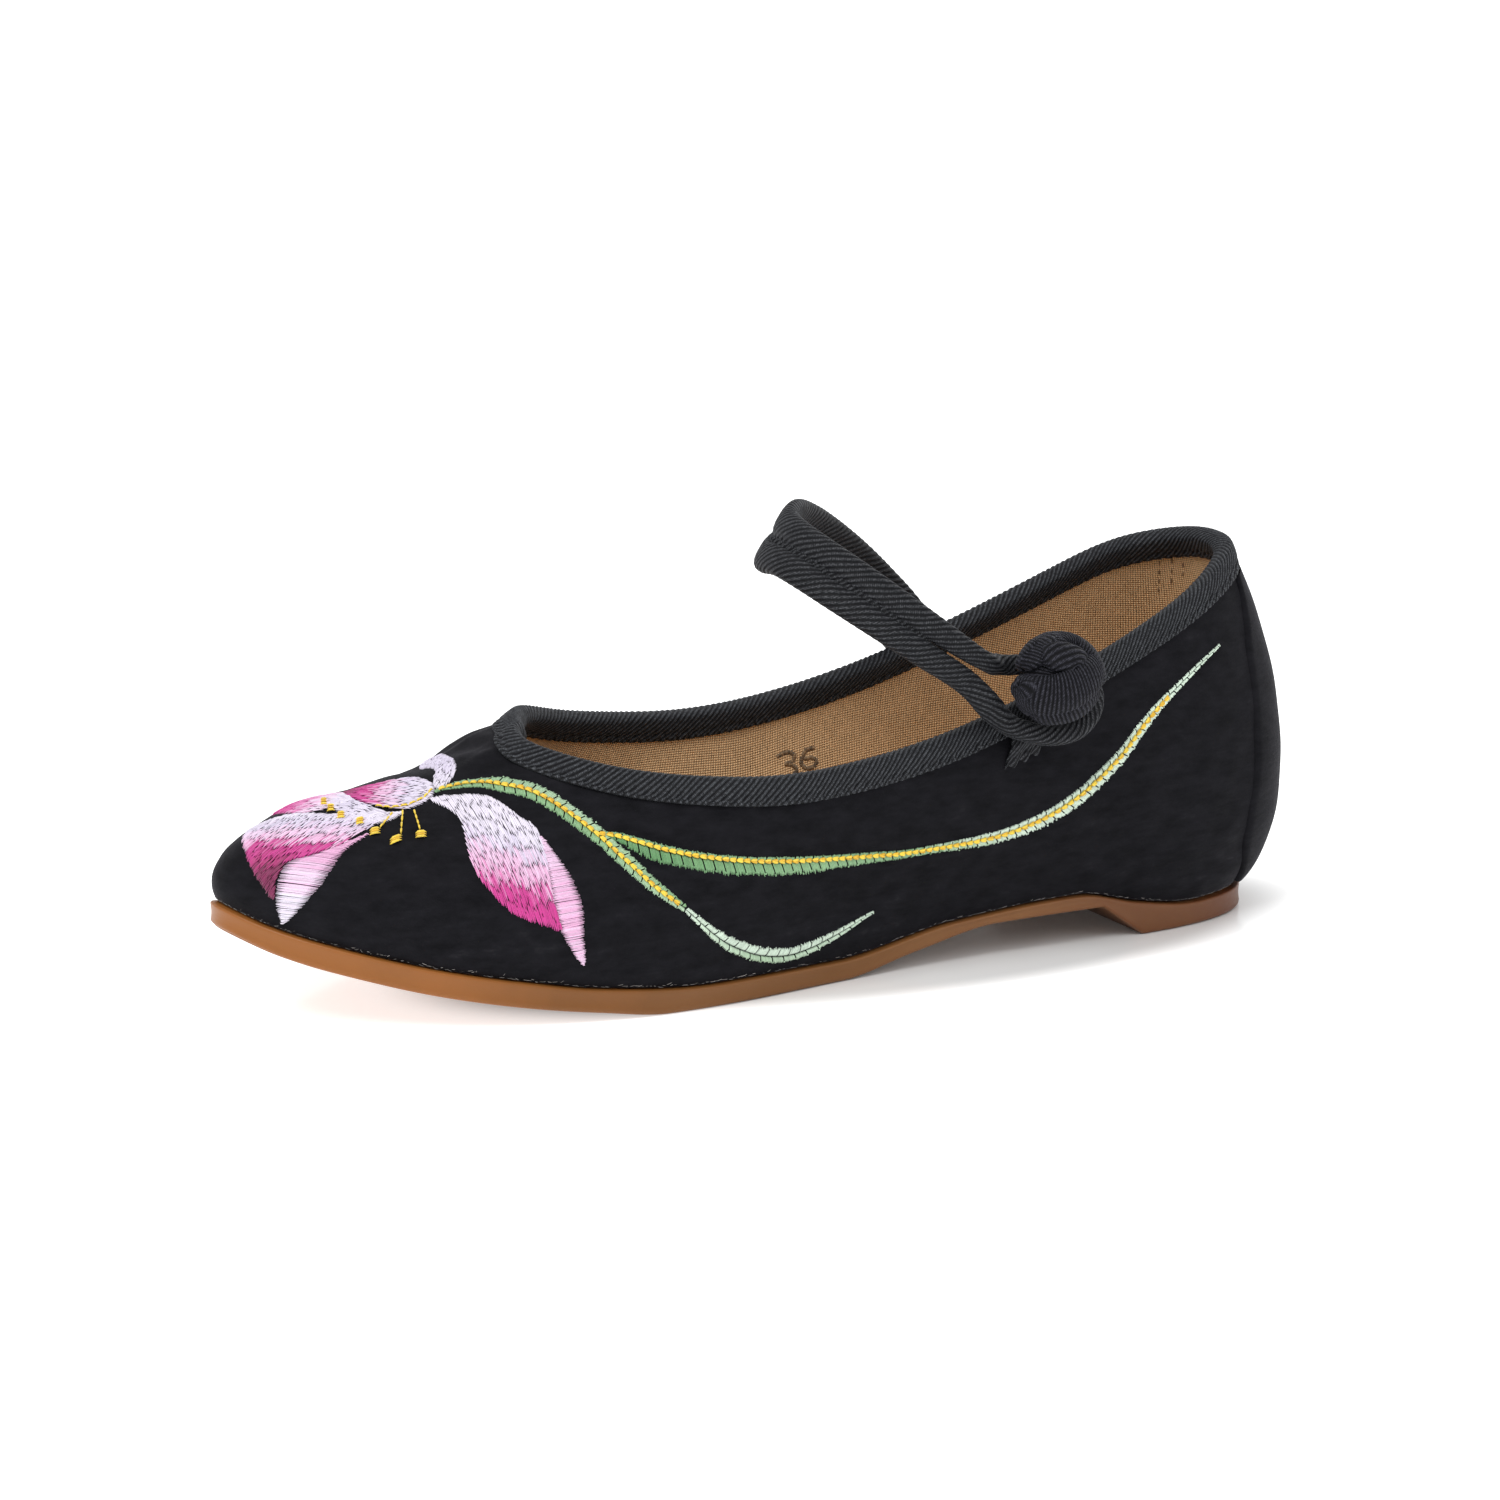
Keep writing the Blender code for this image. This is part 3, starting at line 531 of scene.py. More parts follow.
def bumpInto(finish, shader, height, strength, distance, under=None):
    made = node(finish, "Bump", None, Height=height, Strength=strength, Distance=distance)
    if under is not None:
        finish.node_tree.links.new(under, made.inputs["Normal"])
    finish.node_tree.links.new(made.outputs[0], shader.inputs["Normal"])
    return made.outputs[0]


def link(finish, source, shader, socket):
    finish.node_tree.links.new(source, shader.inputs[socket])


def clothCoordinate(finish):
    place = node(finish, "Attribute", {"attribute_name": "cloth"}).outputs["Vector"]
    return node(finish, "SeparateXYZ", None, Vector=place).outputs


def velvetFinish():
    finish, shader = newFinish(
        "black_velvet", (0.006, 0.006, 0.008), 0.85, Sheen_Weight=0.10, Sheen_Roughness=0.30,
        Sheen_Tint=(0.66, 0.64, 0.74, 1.0), Specular_IOR_Level=0.10)
    pile = speckle(finish, 160.0, 4.0, 0.65, (1.0, 1.0, 2.2))
    clouds = speckle(finish, 24.0, 2.0, 0.5)
    patches = node(finish, "MapRange", None, Value=clouds, i1=0.54, i2=0.70).outputs[0]
    strokes = speckle(finish, 330.0, 3.0, 0.7, (0.35, 1.0, 1.5))
    marks = node(finish, "MapRange", None, Value=strokes, i1=0.46, i2=0.72)
    brushed = sums(finish, "MULTIPLY", patches, marks.outputs[0])
    shade = sums(finish, "ADD", pile, sums(finish, "MULTIPLY", brushed, 0.28))
    color = ramp(finish, shade, (
        (0.30, (0.0030, 0.0030, 0.0042)),
        (0.66, (0.0080, 0.0078, 0.0102)),
        (1.0, (0.024, 0.023, 0.026))))
    link(finish, color, shader, "Base Color")
    streaks = speckle(finish, 420.0, 3.0, 0.7, (0.45, 0.45, 2.4))
    dull = node(finish, "MapRange", None, Value=streaks, i3=0.68, i4=0.96).outputs[0]
    link(finish, dull, shader, "Roughness")
    soft = bumpInto(finish, shader, streaks, 0.22, 0.0006)
    nap = speckle(finish, 5200.0, 2.0, 0.7)
    bumpInto(finish, shader, nap, 0.30, 0.00016, soft)
    return finish


# Twill: the cloth's third value counts ribs, with a valley at each whole number; the rib shape also paints
# the colour, painted shade in the valleys and a painted highlight on the ridges
def twillFinish(name, valley, tone, ridge, shine, depth):
    finish, shader = newFinish(
        name, tone, 0.62, Sheen_Weight=0.05, Sheen_Roughness=0.40, Sheen_Tint=(0.75, 0.78, 0.88, 1.0),
        Specular_IOR_Level=shine)
    along, across, phase = clothCoordinate(finish)
    rib = sums(finish, "ABSOLUTE", sums(finish, "SINE", sums(finish, "MULTIPLY", phase, math.pi)))
    slant = sums(finish, "ADD", along, across)
    pick = sums(finish, "SINE", sums(finish, "MULTIPLY", slant, 2 * math.pi / 0.46))
    twist = sums(finish, "MULTIPLY", sums(finish, "MULTIPLY", pick, rib), 0.12)
    fibre = sums(finish, "MULTIPLY", sums(finish, "SUBTRACT", speckle(finish, 2300.0, 3.0, 0.75), 0.5), 1.15)
    shade = sums(finish, "ADD", sums(finish, "MULTIPLY", rib, 0.60), sums(finish, "ADD", twist, fibre))
    # colour from the ribs: the valley colour is painted shade, the ridge colour a painted highlight, and pick
    # adds painted glints along each rib; fibre is the yarn's own random tone
    link(finish, ramp(finish, shade, ((0.10, valley), (0.46, tone), (0.86, ridge))), shader, "Base Color")
    soft = bumpInto(finish, shader, speckle(finish, 3800.0, 2.0, 0.7), 0.25, 0.00012)
    bumpInto(finish, shader, sums(finish, "ADD", rib, twist), depth, 0.00016, soft)
    return finish


def canvasFinish(name, pitch, tone, grime):
    finish, shader = newFinish(name, tone, 0.88, Sheen_Weight=0.08, Specular_IOR_Level=0.2)
    along, across, _ = clothCoordinate(finish)
    warp = sums(finish, "SINE", sums(finish, "MULTIPLY", along, math.pi / pitch))
    weft = sums(finish, "SINE", sums(finish, "MULTIPLY", across, math.pi / (pitch * 0.85)))
    over = sums(finish, "MULTIPLY", warp, weft)
    lines = sums(finish, "ADD", sums(finish, "ABSOLUTE", warp), sums(finish, "ABSOLUTE", weft))
    height = sums(finish, "ADD", lines, sums(finish, "MULTIPLY", sums(finish, "ABSOLUTE", over), 0.8))
    slub = speckle(finish, 1500.0, 3.0, 0.7, (1.0, 1.0, 0.25))
    broad = speckle(finish, 45.0, 3.0, 0.5)
    # weave height paints the colour: painted shade where the threads dip, a painted highlight on their
    # crowns; slub and grime are the cloth's own tone
    shade = sums(finish, "ADD", sums(finish, "MULTIPLY", height, 0.26), sums(finish, "MULTIPLY", slub, 0.42))
    shade = sums(finish, "ADD", shade, sums(finish, "MULTIPLY", broad, grime))
    dark = tuple(0.22 * value for value in tone)
    light = tuple(min(1.0, 1.36 * value) for value in tone)
    link(finish, ramp(finish, shade, ((0.42, dark), (0.78, tone), (1.0, light))), shader, "Base Color")
    soft = bumpInto(finish, shader, speckle(finish, 2600.0, 2.0, 0.7), 0.2, 0.0001)
    bumpInto(finish, shader, height, 0.80, 0.00016, soft)
    return finish


def rubberFinish():
    finish, shader = newFinish(
        "gum_rubber", (0.50, 0.22, 0.07), 0.40, Subsurface_Weight=0.10, Subsurface_Scale=0.002,
        Subsurface_Radius=(1.0, 0.45, 0.2), Specular_IOR_Level=0.28)
    place = node(finish, "TexCoord").outputs["Object"]
    along = node(finish, "SeparateXYZ", None, Vector=place).outputs["X"]
    # colour steps along the sole from toe to heel, matched to the lit sole: the darker front and heel are
    # painted shade over the gum's own colour, with random cloudy tone
    heelward = node(finish, "MapRange", None, Value=along, i1=-0.20, i2=0.01).outputs[0]
    cloudy = speckle(finish, 60.0, 4.0, 0.6)
    patchy = sums(finish, "MULTIPLY", sums(finish, "SUBTRACT", cloudy, 0.5), 0.3)
    shade = sums(finish, "ADD", heelward, patchy)
    gumTonesWithPaintedShade = (
        (0.0, (0.262, 0.093, 0.019)),
        (0.28, (0.158, 0.060, 0.012)),
        (0.62, (0.196, 0.083, 0.025)),
        (1.0, (0.124, 0.039, 0.012)))
    color = ramp(finish, shade, gumTonesWithPaintedShade)
    link(finish, color, shader, "Base Color")
    scuff = speckle(finish, 1400.0, 4.0, 0.7, (0.5, 0.5, 1.6))
    dull = node(finish, "MapRange", None, Value=scuff, i3=0.30, i4=0.52).outputs[0]
    link(finish, dull, shader, "Roughness")
    bumpInto(finish, shader, scuff, 0.12, 0.0003)
    return finish


def threadFinish(name, roughness):
    finish, shader = newFinish(name, (0.8, 0.8, 0.8), roughness, Sheen_Weight=0.15, Specular_IOR_Level=0.45)
    dye = node(finish, "Attribute", {"attribute_name": "thread"}).outputs["Color"]
    fibre = speckle(finish, 4200.0, 2.0, 0.6)
    tone = node(finish, "MapRange", None, Value=fibre, i1=0.25, i2=0.75, i3=0.82, i4=1.08).outputs[0]
    color = node(finish, "VectorMath", {"operation": "SCALE"}, i0=dye, Scale=tone).outputs[0]
    link(finish, color, shader, "Base Color")
    bumpInto(finish, shader, fibre, 0.3, 0.00008)
    return finish


velvet = velvetFinish()
# twill colours: each valley colour is painted shade and each ridge colour a painted highlight on the ribs
twillValleyShade = (0.002, 0.002, 0.003)
tapeTwill = twillFinish("binding_twill", twillValleyShade, (0.012, 0.013, 0.016), (0.088, 0.094, 0.104), 0.18, 0.9)
cordTwill = twillFinish("cord_twill", twillValleyShade, (0.009, 0.010, 0.012), (0.080, 0.082, 0.090), 0.15, 0.9)
# the knot is tied from the strap's cord; its twill is a darker copy of the cord's, painted shade
knotTwillShaded = twillFinish("knot_twill_painted_shade", twillValleyShade, (0.006, 0.006, 0.009), (0.056, 0.056, 0.072), 0.12, 0.8)
liningCanvas = canvasFinish("lining_canvas", 0.62, (0.66, 0.430, 0.230), 0.35)
insoleCanvas = canvasFinish("insole_canvas", 0.62, (0.59, 0.362, 0.178), 0.45)
gumRubber = rubberFinish()
silkThread = threadFinish("silk_thread", 0.38)
sewingThread = threadFinish("sewing_thread", 0.6)
print("finishes made")

# Velvet upper: outer skin with its folds, turned in at the topline
upper = {
    "columns": 880,
    "rings": 64,
    "backRings": 24,
    "velvetWall": 0.9 * mm,
    "ripple": 0.16 * mm,
    "rippleLength": 17 * mm,
}

# Folds in the velvet: two ends as (share along from the heel, inner side,
# share up the wall), with depth and width; a trough with a ridge each side
folds = (
    # alongA, innerA, upA, alongB, innerB, upB, depth mm, width mm
    (0.900, False, 0.985, 0.945, False, 0.790, 1.00, 2.6),
    (0.860, False, 0.960, 0.900, False, 0.760, 0.45, 2.6),
    (0.955, False, 0.970, 0.985, True, 0.840, 0.45, 2.8),
    (0.935, True, 0.960, 0.955, True, 0.780, 0.50, 2.6),
    (0.740, False, 0.120, 0.640, False, 0.150, 0.30, 3.0),
    (0.560, False, 0.160, 0.450, False, 0.230, 0.30, 3.4),
    (0.330, False, 0.200, 0.250, False, 0.060, 0.35, 3.6),
    (0.230, False, 0.700, 0.180, False, 0.380, 0.30, 4.0),
    (0.120, False, 0.120, 0.040, False, 0.220, 0.35, 3.2),
    (0.640, True, 0.300, 0.540, True, 0.550, 0.35, 3.6),
    (0.420, True, 0.250, 0.330, True, 0.600, 0.35, 3.8),
    (0.200, True, 0.250, 0.120, True, 0.550, 0.30, 3.6),
)


# Broad swells and hollows across the vamp, which velvet and lining share
vampBands = (
    # x, half width along, height, middle y, reach across, all in millimetres
    (-197.0, 7.0, 0.55, 12.0, 26.0),
    (-184.0, 8.0, -0.94, 12.0, 26.0),
    (-171.0, 7.5, -1.49, 12.0, 26.0),
    (-155.5, 7.5, 0.92, 13.0, 24.0),
)


def vampLift(points, shares):
    lift = np.zeros(points.shape[:-1])
    for x, width, height, middle, reach in vampBands:
        along = (points[..., 0] / mm - x) / width
        across = (points[..., 1] / mm - middle) / reach
        lift += height * mm * np.exp(-along ** 2 - across ** 2)
    return lift * np.clip((1 - shares) / 0.10, 0, 1) * np.clip(shares / 0.2, 0, 1)


def foldLift(points):
    lift = np.zeros(points.shape[:-1])
    for alongA, innerA, upA, alongB, innerB, upB, depth, width in folds:
        start = wallPoint(np.array([station(alongA, innerA)]), np.array([upA]))[0]
        end = wallPoint(np.array([station(alongB, innerB)]), np.array([upB]))[0]
        way = end - start
        share = np.clip(((points - start) @ way) / np.dot(way, way), 0.0, 1.0)
        away = np.linalg.norm(points - start - share[..., None] * way, axis=-1) / (width * mm)
        fade = np.sin(math.pi * np.clip(share, 0.04, 0.96)) ** 0.6
        trough = -np.exp(-away ** 2) + 0.55 * np.exp(-((away - 1.7) / 0.8) ** 2)
        lift += trough * fade * depth * mm
    return lift


# Slow unevenness of cloth drawn over a last, from a few crossing waves
def rippleLift(points):
    x, y, z = np.moveaxis(points, -1, 0) / upper["rippleLength"] * 2 * math.pi
    waves = np.sin(x + 0.6 * np.sin(1.3 * y)) * np.cos(0.7 * z + 0.4 * y)
    waves = waves + 0.6 * np.sin(1.9 * x - 1.1 * z + 0.8) + 0.4 * np.cos(2.7 * x + 1.7 * z + y)
    return waves * upper["ripple"] / 2


def clothPlaces(grid, columnsFirst=True):
    across = np.linalg.norm(np.diff(grid, axis=1, append=grid[:, :1]), axis=-1)
    up = np.linalg.norm(np.diff(grid, axis=0), axis=-1)
    middle = across[len(across) // 2]
    along = np.concatenate([[0.0], np.cumsum(middle)])
    height = np.concatenate([np.zeros((1, grid.shape[1])), np.cumsum(up, axis=0)])
    height = np.concatenate([height, height[:, :1]], axis=1)
    along = np.broadcast_to(along, height.shape)
    return np.stack([along, height, np.zeros_like(height)], -1) / mm


def buildUpper():
    turns = np.linspace(0.0, wholeTurn, upper["columns"], endpoint=False)
    shares = np.linspace(0.0, 1.0, upper["rings"])[:, None]
    base = skin(turns[None, :], shares)
    edgeFade = np.clip((1 - shares) / 0.10, 0, 1) * np.clip(shares / 0.06, 0, 1)
    lift = (foldLift(base) + rippleLift(base)) * edgeFade
    tuck = 0.35 * mm * np.exp(-shares / 0.02)      # drawn in where it meets the sole
    lift = lift - tuck + vampLift(base, shares)
    outer = base + wallNormal(turns[None, :], shares) * lift[..., None]
    back = np.linspace(1.0, 0.0, upper["backRings"])[:, None]
    inner = skin(turns[None, :], back, vampLift(skin(turns[None, :], back), back) - upper["velvetWall"])
    mesh = gridMesh("upper", np.concatenate([outer, inner]), True, True)
    return addPiece("velvet_upper", mesh, velvet, "velvet", "upper")


velvetUpper = buildUpper()
print("velvet upper built")

lining = {
    "columns": 600,
    "rings": 44,
    "backRings": 24,
    "near": 0.95 * mm,
}


def buildLining():
    turns = np.linspace(0.0, wholeTurn, lining["columns"], endpoint=False)
    shares = np.linspace(0.0, 1.0, lining["rings"])[:, None]
    inner = skin(turns[None, :], shares, vampLift(skin(turns[None, :], shares), shares) - shoe["wall"])
    cloth = clothPlaces(inner)
    back = np.linspace(1.0, 0.0, lining["backRings"])[:, None]
    outer = skin(turns[None, :], back, vampLift(skin(turns[None, :], back), back) - lining["near"])
    rest = np.zeros((lining["backRings"] + 1, lining["columns"] + 1, 3))
    faces = np.concatenate([inner, outer])
    mesh = gridMesh("lining", faces, True, True, np.concatenate([cloth, rest]), True)
    return addPiece("canvas_lining", mesh, liningCanvas, "canvas")


canvasLining = buildLining()
print("lining built")

# Footbed: a wedge that thins towards the ball, under canvas
footbed = {
    "lift": 24.5 * mm,
    "edge": 3.0 * mm,
    "cup": 2.5 * mm,
    "gap": 0.7 * mm,
    "rows": 260,
    "columns": 64,
    "sideRings": 6,
}
footbedRows = (
    # along, lift, edge
    (0.000, 0.90, 1.0),
    (0.080, 0.90, 1.0),
    (0.180, 0.74, 1.0),
    (0.300, 0.42, 1.0),
    (0.420, 0.18, 1.0),
    (0.540, 0.04, 1.0),
    (0.660, 0.00, 1.0),
    (1.000, 0.00, 0.9),
)


def footbedHeight(along):
    lift = flow(footbedRows, 1, along) * footbed["lift"]
    return topHeight(along) + shoe["gap"] + lift + flow(footbedRows, 2, along) * footbed["edge"]


def buildFootbed():
    half = np.linspace(0.0, 1.0, footbed["rows"] + 1)
    turns = np.concatenate([half, wholeTurn - half[-2:0:-1]])
    inside = -shoe["wall"] - footbed["gap"]
    wall = skin(turns[:, None], np.linspace(0.0, 0.7, 71)[None, :], inside)
    rings = np.zeros((footbed["sideRings"] + 1, len(turns), 3))
    for index, line in enumerate(wall):
        along = (shoe["heelEnd"] - line[0, 0]) / shoe["length"]
        low = float(topHeight(along)) + shoe["gap"]
        top = float(footbedHeight(along))
        base = min(line[0, 2], (low + top) / 2)
        rings[0, index] = (line[0, 0], line[0, 1], low)
        for level in range(footbed["sideRings"]):
            height = base + (top - base) * level / (footbed["sideRings"] - 1)
            x = np.interp(height, line[:, 2], line[:, 0])
            y = np.interp(height, line[:, 2], line[:, 1])
            rings[level + 1, index] = (x, y, height)

    def topFace(grid):
        along = (shoe["heelEnd"] - grid[..., 0]) / shoe["length"]
        share = np.linspace(0.0, 1.0, grid.shape[1])[None, :]
        return footbedHeight(along) - footbed["cup"] * flow(footbedRows, 1, along) * np.sin(math.pi * share)

    def lowFace(grid):
        return topHeight((shoe["heelEnd"] - grid[..., 0]) / shoe["length"]) + shoe["gap"]

    over = capGrid(rings[-1], topFace, footbed["columns"])
    under = capGrid(rings[0], lowFace, 8)
    parts = [gridMesh("side", rings, False, True, placeCloth(rings, True))]
    parts.append(gridMesh("over", over, False, False, placeCloth(over), True))
    parts.append(gridMesh("under", under, False, False, placeCloth(under)))
    return addPiece("canvas_insole", joinMeshes("insole", parts), insoleCanvas, "canvas", "insole")


buildFootbed()
print("insole built")

# Ribs with round tops and narrow valleys
def ribWave(phase):
    return np.abs(np.sin(math.pi * phase)) ** 0.7 * 2 - 1


# Twill tape folded over the topline, puckered by its stitches
binding = {
    "columns": 1430,
    "legPoints": 22,
    "insidePoints": 13,
    "foldPoints": 11,
    "wale": 1.36,            # millimetres between the slanting ribs
    "waleDepth": 0.17 * mm,
    "waleSlope": 0.95,
    "sway": 0.40,            # how far the ribs wander, in millimetres
    "stitchLine": 1.6 * mm,  # above the tape's lower edge
    "stitchPitch": 2.3,
    "stitchPull": 0.46 * mm,
}


def bindingSection():
    wide = shoe["tapeShown"]
    crest = shoe["gap"] + shoe["tapeWall"]

    def leg(points):
        share = np.linspace(0.0, 1.0, points)
        return [(wide * (1 - at), crest * (0.55 + 0.45 * math.sin(math.pi * at / 2)), 0) for at in share]

    outer = leg(binding["legPoints"])
    middle = -shoe["wall"] / 2
    reach = shoe["wall"] / 2 + crest
    over = []
    for turn in np.linspace(0, math.pi, binding["foldPoints"])[1:-1]:
        over.append((-crest * math.sin(turn), middle + reach * math.cos(turn), 0))
    inner = [(value, -shoe["wall"] - offset, 0) for value, offset, _ in leg(binding["insidePoints"])[::-1]]
    near = shoe["gap"]
    inside = -shoe["wall"] - near
    lining = [(wide, inside, 1), (0.0, inside, 1), (0.0, near, 1), (wide, near, 1)]
    return np.array(outer + over + inner + lining)


def buildBinding():
    section = bindingSection()
    turns, run = evenTopline(binding["columns"])
    turns = turns[:-1]
    edge = skin(turns, 1.0)
    upward = edge - skin(turns, 0.98)
    upward /= np.linalg.norm(upward, axis=-1, keepdims=True)
    steps = np.linalg.norm(np.diff(section[:, :2], axis=0), axis=1)
    legs = np.concatenate([[0.0], np.cumsum(steps)]) / mm
    around = 2 * math.pi * run / run[-1]
    sway = binding["sway"] * (np.sin(10 * around) + 0.6 * np.sin(26 * around + 1.0))
    wale = run[-1] / mm / round(run[-1] / mm / binding["wale"])
    across = np.append(legs, legs[0])[:, None]
    phase = (run[None, :] / mm - across * binding["waleSlope"] + sway[None, :]) / wale
    rings = []
    for index, (depth, offset, hidden) in enumerate(section):
        along = run[:-1] / mm
        place = np.full(len(turns), offset)
        if not hidden:
            side = 1.0 if offset > -shoe["wall"] / 2 else -1.0
            lowEdge = np.exp(-((depth - shoe["tapeShown"] + binding["stitchLine"]) / (0.8 * mm)) ** 2)
            pull = 0.55 + 0.45 * np.cos(2 * math.pi * along / binding["stitchPitch"])
            fade = 0.35 + 0.65 * min(1.0, abs(shoe["tapeShown"] - depth) / (2 * mm))
            swing = ribWave(phase[index, :-1]) * binding["waleDepth"] * fade
            place = place + side * (swing - lowEdge * pull * binding["stitchPull"])
        share = shareBelowTop(turns, max(depth, 0.0))
        if depth > 0.9 * shoe["tapeShown"] and not hidden:
            wave = 0.22 * mm * np.cos(2 * math.pi * along / binding["stitchPitch"])
            pairs = zip(depth + wave, share)
            share = np.array([np.interp(down, (0.0, shoe["tapeShown"]), (1.0, low)) for down, low in pairs])
        ring = skin(turns, share, place)
        if depth < 0:
            rise = 0.0
            if not hidden:
                rise = ribWave(phase[index, :-1]) * binding["waleDepth"]
            ring = ring + upward * (np.full(len(turns), -depth) + rise)[:, None]
        rings.append(ring)
    points = np.array(rings)
    cloth = np.zeros((len(across), len(run), 3))
    cloth[..., 0] = run[None, :] / mm
    cloth[..., 1] = across
    cloth[..., 2] = phase
    mesh = gridMesh("binding", points, True, True, cloth, False)
    return addPiece("collar_tape", mesh, tapeTwill, "twill_tape", "collar_binding")


buildBinding()
print("binding built")

# Velvet strip round the heel's back, from the sole up to the tape
patch = {
    "wall": 0.8 * mm,
    "gap": 0.4 * mm,
    "width": 44 * mm,
    "foot": 0.04,
    "span": 0.2,
    "rows": 90,
    "columns": 90,
}
patchRows = (
    # height, half width as a share of the strip's width
    (0.00, 0.64),
    (0.25, 0.74),
    (0.50, 0.68),
    (0.80, 0.61),
    (1.00, 0.47),
)


def patchTurns(level, places):
    back = np.linspace(1.0 - patch["span"], 1.0 + patch["span"], 21)
    arc = skin(back, 0.4)
    turnPerMetre = 2 * patch["span"] / np.linalg.norm(np.diff(arc, axis=0), axis=1).sum()
    half = float(flow(patchRows, 1, level)) * patch["width"] * turnPerMetre
    return 1.0 + half * places


def buildPatch():
    places = np.linspace(-1.0, 1.0, patch["columns"])
    outer = []
    inner = []
    for level in np.linspace(0.0, 1.0, patch["rows"]):
        turns = patchTurns(level, places)
        top = shareBelowTop(turns, shoe["tapeShown"] + shoe["gap"])
        shares = patch["foot"] + (top - patch["foot"]) * level
        rim = np.clip((1 - np.abs(places)) / 0.05, 0, 1) ** 0.5
        slack = 0.12 * mm * np.sin(9 * level + 3 * places) * np.sin(21 * level - 5 * places)
        outer.append(skin(turns, shares, (patch["gap"] + patch["wall"] * 0.7 + slack) * rim - 0.1 * mm))
        inner.append(skin(turns, shares, np.full(len(turns), -0.5 * mm)))
    points = np.concatenate([np.array(outer), np.array(inner)[:, ::-1]], axis=1)
    mesh = gridMesh("patch", points, False, True, None, True)
    return addPiece("heel_strip", mesh, velvet, "velvet_patch", "heel_patch")


buildPatch()
print("heel strip built")

# One flat cord makes the strap: over the arch, round the knot and back
strap = {
    "width": 7.4 * mm,
    "thick": 4.2 * mm,
    "reach": 40.9 * mm,
    "rise": 29 * mm,
    "swell": 5.2 * mm,
    "place": 0.250,
    "seat": 4.8 * mm,
    "seatClear": 0.6 * mm,
    "end": 12 * mm,
    "splitReach": 17 * mm,
    "splitTuck": 5 * mm,
    "splitRise": 3.8 * mm,
    "loopStand": 5.6 * mm,
    "archParts": 13,
    "ringStep": 0.31 * mm,
    "ribs": {"pitch": 1.84, "around": 12, "depth": 0.10 * mm, "sides": 60},
    "seamPitch": 2.1,        # stitches that pull the two cords together
    "seamWidth": 2.6 * mm,
    "seamThick": 3.1 * mm,
}
knot = {
    "place": 0.2784,
    "radius": 10.3 * mm,
    "depth": 7 * mm,
    "stand": 14.5 * mm,
    "above": 3 * mm,
    "neckRadius": 1.5 * mm,
    "neckFall": 5 * mm,
}
archWidthRows = (
    # place, width as a share of the cord's width
    (0.00, 0.84),
    (0.30, 0.84),
    (0.50, 1.00),
    (0.64, 0.84),
    (0.80, 0.80),
    (0.92, 0.74),
    (1.00, 0.70),
)
loopRoute = (
    # heelward and up, shares of the knot's radius; share of the cord's width
    (-0.86, 0.48, 0.56),
    (-0.31, 0.44, 0.56),
    (0.31, 0.44, 0.60),
    (0.86, 0.18, 0.62),
    (1.17, -0.24, 0.64),
    (1.08, -0.68, 0.66),
    (0.68, -1.00, 0.68),
    (0.12, -1.06, 0.70),
    (-0.43, -0.92, 0.72),
    (-0.92, -0.66, 0.78),
)


def knotFrame():
    turn = np.array([station(knot["place"], False)])
    edge = skin(turn, 1.0)[0]
    below = shareBelowTop(turn, shoe["tapeWidth"])
    low = skin(turn, below)[0]
    out = (skin(turn, below, 1.0) - skin(turn, below))[0]
    up = edge - low
    up /= np.linalg.norm(up)
    heelward = np.cross(up, out)
    heelward /= np.linalg.norm(heelward)
    return edge, heelward, up, np.cross(heelward, up)


def knotCentre():
    edge, _, up, out = knotFrame()
    return edge + up * knot["above"] + out * knot["stand"]


def smoothRoute(points, parts):
    points = np.asarray(points, dtype=float)
    ends = np.vstack([2 * points[0] - points[1], points, 2 * points[-1] - points[-2]])
    run = []
    for index in range(1, len(ends) - 2):
        for part in range(parts):
            share = part / parts
            before, start, end, after = ends[index - 1:index + 3]
            bend = 2 * before - 5 * start + 4 * end - after
            twist = 3 * (start - end) + after - before
            point = 2 * start + (end - before) * share + bend * share ** 2
            run.append((point + twist * share ** 3) / 2)
    run.append(points[-1])
    return np.array(run)


def strapLine():
    _, heelward, up, out = knotFrame()
    split = knotCentre() - heelward * strap["splitReach"]
    split += up * strap["splitRise"] - out * strap["splitTuck"]
    stand = shoe["tapeWall"] + 2 * shoe["gap"] + strap["thick"] / 2 + strap["seatClear"]
    turn = np.array([station(strap["place"], True)])
    share = shareBelowTop(turn, strap["seat"])
    seat = skin(turn, share, stand)[0]
    wallOut = (skin(turn, share, 1.0) - skin(turn, share))[0]
    back = np.array([station(strap["place"] - strap["end"] / shoe["length"], True)])
    end = skin(back, shareBelowTop(back, shoe["tapeWidth"] + strap["width"]), stand)[0]
    middle = (split + seat) / 2
    half = (split - seat) / 2
    crest = np.array([-strap["reach"], 0.0, strap["rise"]])
    across = np.array([strap["rise"], 0.0, strap["reach"]])
    across /= np.linalg.norm(across)
    points = [end]
    for turn in np.linspace(0.0, math.pi, strap["archParts"]):
        swell = strap["swell"] * max(0.0, math.sin(2 * turn))
        points.append(middle - half * math.cos(turn) + crest * math.sin(turn) + across * swell)
    across = np.tile(across, (len(points), 1))
    for index in range(2):
        across[index] -= wallOut * np.dot(across[index], wallOut)
        across[index] /= np.linalg.norm(across[index])
    return np.array(points), across


